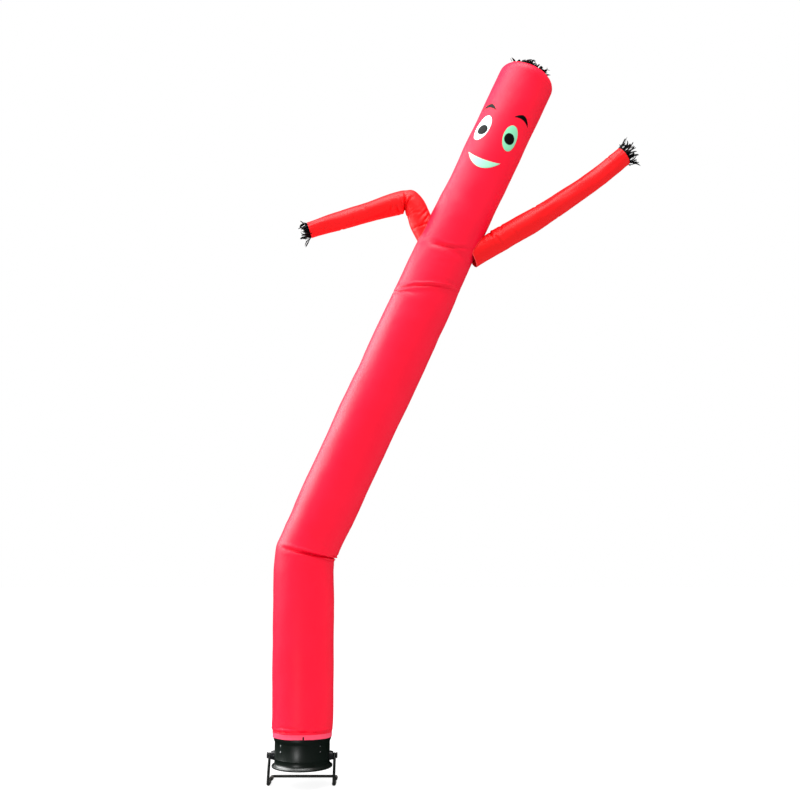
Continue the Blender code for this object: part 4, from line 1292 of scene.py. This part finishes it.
def build_fan():
    hub = finish_mesh(lathe("fan_wheel", HUB_OUTLINE, 48), 40)
    bpy.ops.mesh.primitive_grid_add(x_subdivisions=BLADE_COLUMNS, y_subdivisions=6, size=1)
    blade = begin_edit(named("fan_blade"))
    middle = (BLADE_ROOT + BLADE_TIP) / 2
    bpy.ops.transform.resize(value=(BLADE_TIP - BLADE_ROOT, BLADE_CHORD, 1))
    bpy.ops.transform.translate(value=(middle, 0, BLADE_Z))
    bpy.ops.object.mode_set(mode="OBJECT")
    for k in range(BLADE_COLUMNS + 1):
        share = k / BLADE_COLUMNS
        x = BLADE_ROOT + (BLADE_TIP - BLADE_ROOT) * share
        pick(blade, "vertices", lambda point: abs(point.x - x) < 0.002)
        middle = (x, 0, BLADE_Z)
        chord = 0.86 + 0.5 * share * (1.25 - share)
        bpy.ops.transform.resize(value=(1, chord, 1), center_override=middle)
        pitch = math.radians(40 - 16 * share)
        bpy.ops.transform.rotate(value=-pitch, orient_axis="X", center_override=middle)
        bpy.ops.object.mode_set(mode="OBJECT")
    wall = blade.modifiers.new("Wall", "SOLIDIFY")
    wall.thickness, wall.offset = 0.003, 0
    rounded = blade.modifiers.new("Edge", "BEVEL")
    rounded.width, rounded.segments = 0.0009, 2
    begin_edit(apply_modifiers(blade))
    angle = math.tau * (BLADES - 1) / BLADES
    bpy.ops.mesh.spin(steps=BLADES - 1, dupli=True, angle=angle, center=(0, 0, 0), axis=(0, 0, 1))
    end_edit()
    fan = set_down(join(hub, finish_mesh(blade, 35)), turn=(0, 0, 15))
    dress(fan, "blower_fan", MOULDED_PLASTIC)


def build_guard():
    wires = []
    for radius in GUARD_RINGS:
        bpy.ops.mesh.primitive_torus_add(
            major_radius=radius, minor_radius=0.0024, major_segments=84, minor_segments=12,
            location=(0, 0, GUARD_Z + 0.001),
        )
        wires.append(named(f"guard_ring_{len(wires)}"))
    for angle in GUARD_ANGLES:
        bpy.ops.mesh.primitive_cylinder_add(
            vertices=14, radius=0.0025, depth=2 * GUARD_REACH,
            location=(0, 0, GUARD_Z), rotation=(0, math.pi / 2, math.radians(angle)),
        )
        bar = named(f"guard_bar_{angle}")
        bpy.ops.object.transform_apply(location=True, rotation=True, scale=True)
        for side in (0, 180):
            end = polar(GUARD_REACH, angle + side, GUARD_Z)
            pick(bar, "polygons", lambda centre: (centre - end).length < 0.002)
            for step, size in ((0.004, 1.5), (0.005, 1.1)):
                move = polar(step, angle + side, 0)
                bpy.ops.mesh.extrude_region_move(TRANSFORM_OT_translate={"value": move})
                bpy.ops.transform.resize(value=(size, size, 0.75))
            bpy.ops.object.mode_set(mode="OBJECT")
        begin_edit(bar)
        end_edit()
        wires.append(bar)
    guard = join(*wires)
    guard.name = guard.data.name = "guard_wires"
    only(guard)
    bpy.ops.object.transform_apply(location=True, rotation=True, scale=True)
    dress(finish_mesh(set_down(guard), 45), "inlet_guard", POWDER_COAT)


def rounded_route(corners, radius, steps):
    """Points along straight runs whose corners are arcs of one radius."""
    points = [corners[0]]
    for before, corner, after in zip(corners, corners[1:], corners[2:]):
        back, ahead = (before - corner).normalized(), (after - corner).normalized()
        half = back.angle(ahead) / 2
        centre = corner + (back + ahead).normalized() * radius / math.sin(half)
        start = (corner + back * radius / math.tan(half) - centre).normalized()
        end = (corner + ahead * radius / math.tan(half) - centre).normalized()
        points += [centre + start.slerp(end, step / steps) * radius for step in range(steps + 1)]
    return points + [corners[-1]]


def bent_tube(name, route, radius, sides):
    """Draws a ring along a route, turning it at each bend, with a rounded plug in each end."""
    heading = (route[1] - route[0]).normalized()
    tail = (route[-1] - route[-2]).normalized()
    start = [(route[0] + heading * away, size) for away, size in ((0.0, 0.55), (0.0012, 0.84), (0.0035, 1.0))]
    end = [(route[-1] - tail * away, size) for away, size in ((0.0035, 1.0), (0.0012, 0.84), (0.0, 0.55))]
    stops = start + [(point, 1.0) for point in route[1:-1]] + end
    bpy.ops.mesh.primitive_circle_add(
        vertices=sides, radius=radius * stops[0][1],
        location=route[0], rotation=heading.to_track_quat("Z", "Y").to_euler(),
    )
    tube = named(name)
    bpy.ops.object.transform_apply(location=True, rotation=True, scale=True)
    begin_edit(tube)
    bpy.ops.mesh.edge_face_add()
    size = stops[0][1]
    for i in range(1, len(stops)):
        before, (at, wanted) = stops[i - 1][0], stops[i]
        after = stops[i + 1][0] if i + 1 < len(stops) else at + (at - before)
        bpy.ops.mesh.extrude_edges_move(TRANSFORM_OT_translate={"value": at - before})
        turned = ((at - before).normalized() + (after - at).normalized()).normalized()
        hinge = heading.cross(turned)
        if hinge.length > 0.0001:
            main = max(range(3), key=lambda k: abs(hinge[k]))
            angle = math.copysign(heading.angle(turned), hinge[main])
            bpy.ops.transform.rotate(value=-angle, orient_axis="XYZ"[main], center_override=at)
            heading = turned
        if wanted != size:
            bpy.ops.transform.resize(value=[wanted / size] * 3, center_override=at)
            size = wanted
    bpy.ops.mesh.edge_face_add()
    return end_edit()


def build_stand():
    corners = []
    for side in (-1, 1):
        x = side * LEG_X
        leg = [Vector((x, 0, LEG_TOP_Z)), Vector((x, LEG_FOOT_Y, SKID_Z)), Vector((x, REAR_BAR_Y, SKID_Z))]
        corners += leg if side < 0 else leg[::-1]
    stand = set_down(bent_tube("stand_frame", rounded_route(corners, TUBE_BEND, 12), TUBE_RADIUS, 32))
    dress(finish_mesh(stand, 50), "stand_tube", POWDER_COAT)
    outline = [(0.0122, 0.0), (0.0138, 0.0), (SLEEVE_OUTSIDE, 0.0012)]
    for k in range(SLEEVE_GROOVES):
        foot = 0.0060 + 0.0108 * k
        outline += [(SLEEVE_OUTSIDE, foot), (SLEEVE_GROOVE, foot + 0.0008)]
        outline += [(SLEEVE_GROOVE, foot + 0.0028), (SLEEVE_OUTSIDE, foot + 0.0036)]
    top = SLEEVE_LENGTH
    outline += [(SLEEVE_OUTSIDE, top - 0.0012), (0.0138, top), (0.0122, top), (SLEEVE_BORE, top - 0.001)]
    outline += [(SLEEVE_BORE, 0.001)]
    for side, word in ((-1, "left"), (1, "right")):
        for y, end in ((FRONT_SLEEVE_Y, "front"), (REAR_SLEEVE_Y, "rear")):
            sleeve = lathe(f"rubber_sleeve_{end}_{word}", outline, 40, ring=True)
            set_down(sleeve, (side * LEG_X, y, SKID_Z), (-90, 0, 0))
            dress(finish_mesh(sleeve, 40), f"foot_{end}_{word}", RUBBER)
        build_pivot(side, word)


def build_pivot(side, word):
    boss = lathe(f"boss_{word}", BOSS_OUTLINE, 56)
    set_down(boss, (side * (BARREL_RADIUS + 0.0003), 0, PIVOT_Z), (0, side * 90, 0))
    dress(finish_mesh(boss, 40), f"pivot_boss_{word}", MOULDED_PLASTIC)
    sides = 48
    knob = lathe(f"knob_{word}", KNOB_OUTLINE, sides)

    def flute(point):
        column = round(math.degrees(math.atan2(point.y, point.x)) % 360 / (360 / sides))
        return math.hypot(point.x, point.y) > 0.0186 and column % 4 == 0

    pick(knob, "vertices", flute)
    bpy.ops.transform.resize(value=(0.945, 0.945, 1), center_override=(0, 0, 0.005))
    end_edit()
    set_down(knob, (side * (LEG_X + TUBE_RADIUS + 0.0003), 0, PIVOT_Z), (0, side * 90, 0))
    dress(finish_mesh(knob, 30), f"pivot_cap_{word}", MOULDED_PLASTIC)


def build_gland():
    nut = finish_mesh(lathe("gland_nut", NUT_OUTLINE, 6, ring=True), 25)
    cap = finish_mesh(lathe("gland_cap", CAP_OUTLINE, 36, ring=True), 35)
    gland = join(nut, cap)
    set_down(gland, (0, BARREL_RADIUS + 0.0003, PIVOT_Z), (-90, 0, 0))
    dress(gland, "cord_gland", MOULDED_PLASTIC)


build_cloth()
build_fringes()
build_face()
build_drum()
build_motor()
build_fan()
build_guard()
build_stand()
build_gland()


# Floor, lights and camera


def build_floor():
    bpy.ops.mesh.primitive_plane_add(size=90, location=AXIS)
    floor = bpy.context.object
    floor.name = "studio_floor"
    material, tree, shader = new_material(
        "pale_floor", Roughness=0.95, Specular_IOR_Level=0.0,
        Emission_Color=(1, 1, 1, 1), Emission_Strength=0.88,
    )
    where = add_node(tree, "TexCoord").outputs["Object"]
    grain = noise_of(tree, where, 0.7, 3.0)
    colour = blend(tree, grain, (0.14, 0.14, 0.14, 1), (0.16, 0.16, 0.16, 1))
    tree.links.new(colour, shader.inputs["Base Color"])
    floor.data.materials.append(material)
    floor.visible_glossy = False


# An even white room shows the colours, and the softboxes give the gloss.
Light = namedtuple("Light", "name place target size_x size_y watts")
LIGHTS = [
    Light("left_softbox", (-7.5, 1.4, 6.8), (-0.2, 0.0, 3.0), 7.0, 8.0, 2100),
    Light("ceiling_softbox", (-1.0, -2.0, 9.5), (-0.8, -0.4, 0.0), 6.0, 4.0, 800),
    Light("drum_strip", (-1.90, -2.2, 0.22), (-1.22, 0.0, 0.24), 0.14, 0.36, 7),
]


def build_lights():
    for light in LIGHTS:
        data = bpy.data.lights.new(light.name, "AREA")
        data.shape = "RECTANGLE"
        data.size, data.size_y, data.energy = light.size_x, light.size_y, light.watts
        lamp = bpy.data.objects.new(light.name, data)
        bpy.context.scene.collection.objects.link(lamp)
        lamp.location = light.place
        aim = Vector(light.target) - Vector(light.place)
        lamp.rotation_euler = aim.to_track_quat("-Z", "Y").to_euler()
    world = bpy.data.worlds.new("white_studio")
    bpy.context.scene.world = world
    world.use_nodes = True
    world.node_tree.nodes["Background"].inputs["Color"].default_value = (1, 1, 1, 1)
    world.cycles_visibility.glossy = False
    bpy.context.scene.view_settings.view_transform = "Standard"


def build_camera():
    data = bpy.data.cameras.new("photo_camera")
    data.lens, data.sensor_width = CAMERA_LENS, CAMERA_SENSOR
    data.clip_end = 200
    camera = bpy.data.objects.new("photo_camera", data)
    bpy.context.scene.collection.objects.link(camera)
    camera.location = EYE
    camera.rotation_euler = (math.radians(CAMERA_PITCH), 0, 0)
    bpy.context.scene.camera = camera


build_floor()
build_lights()
build_camera()
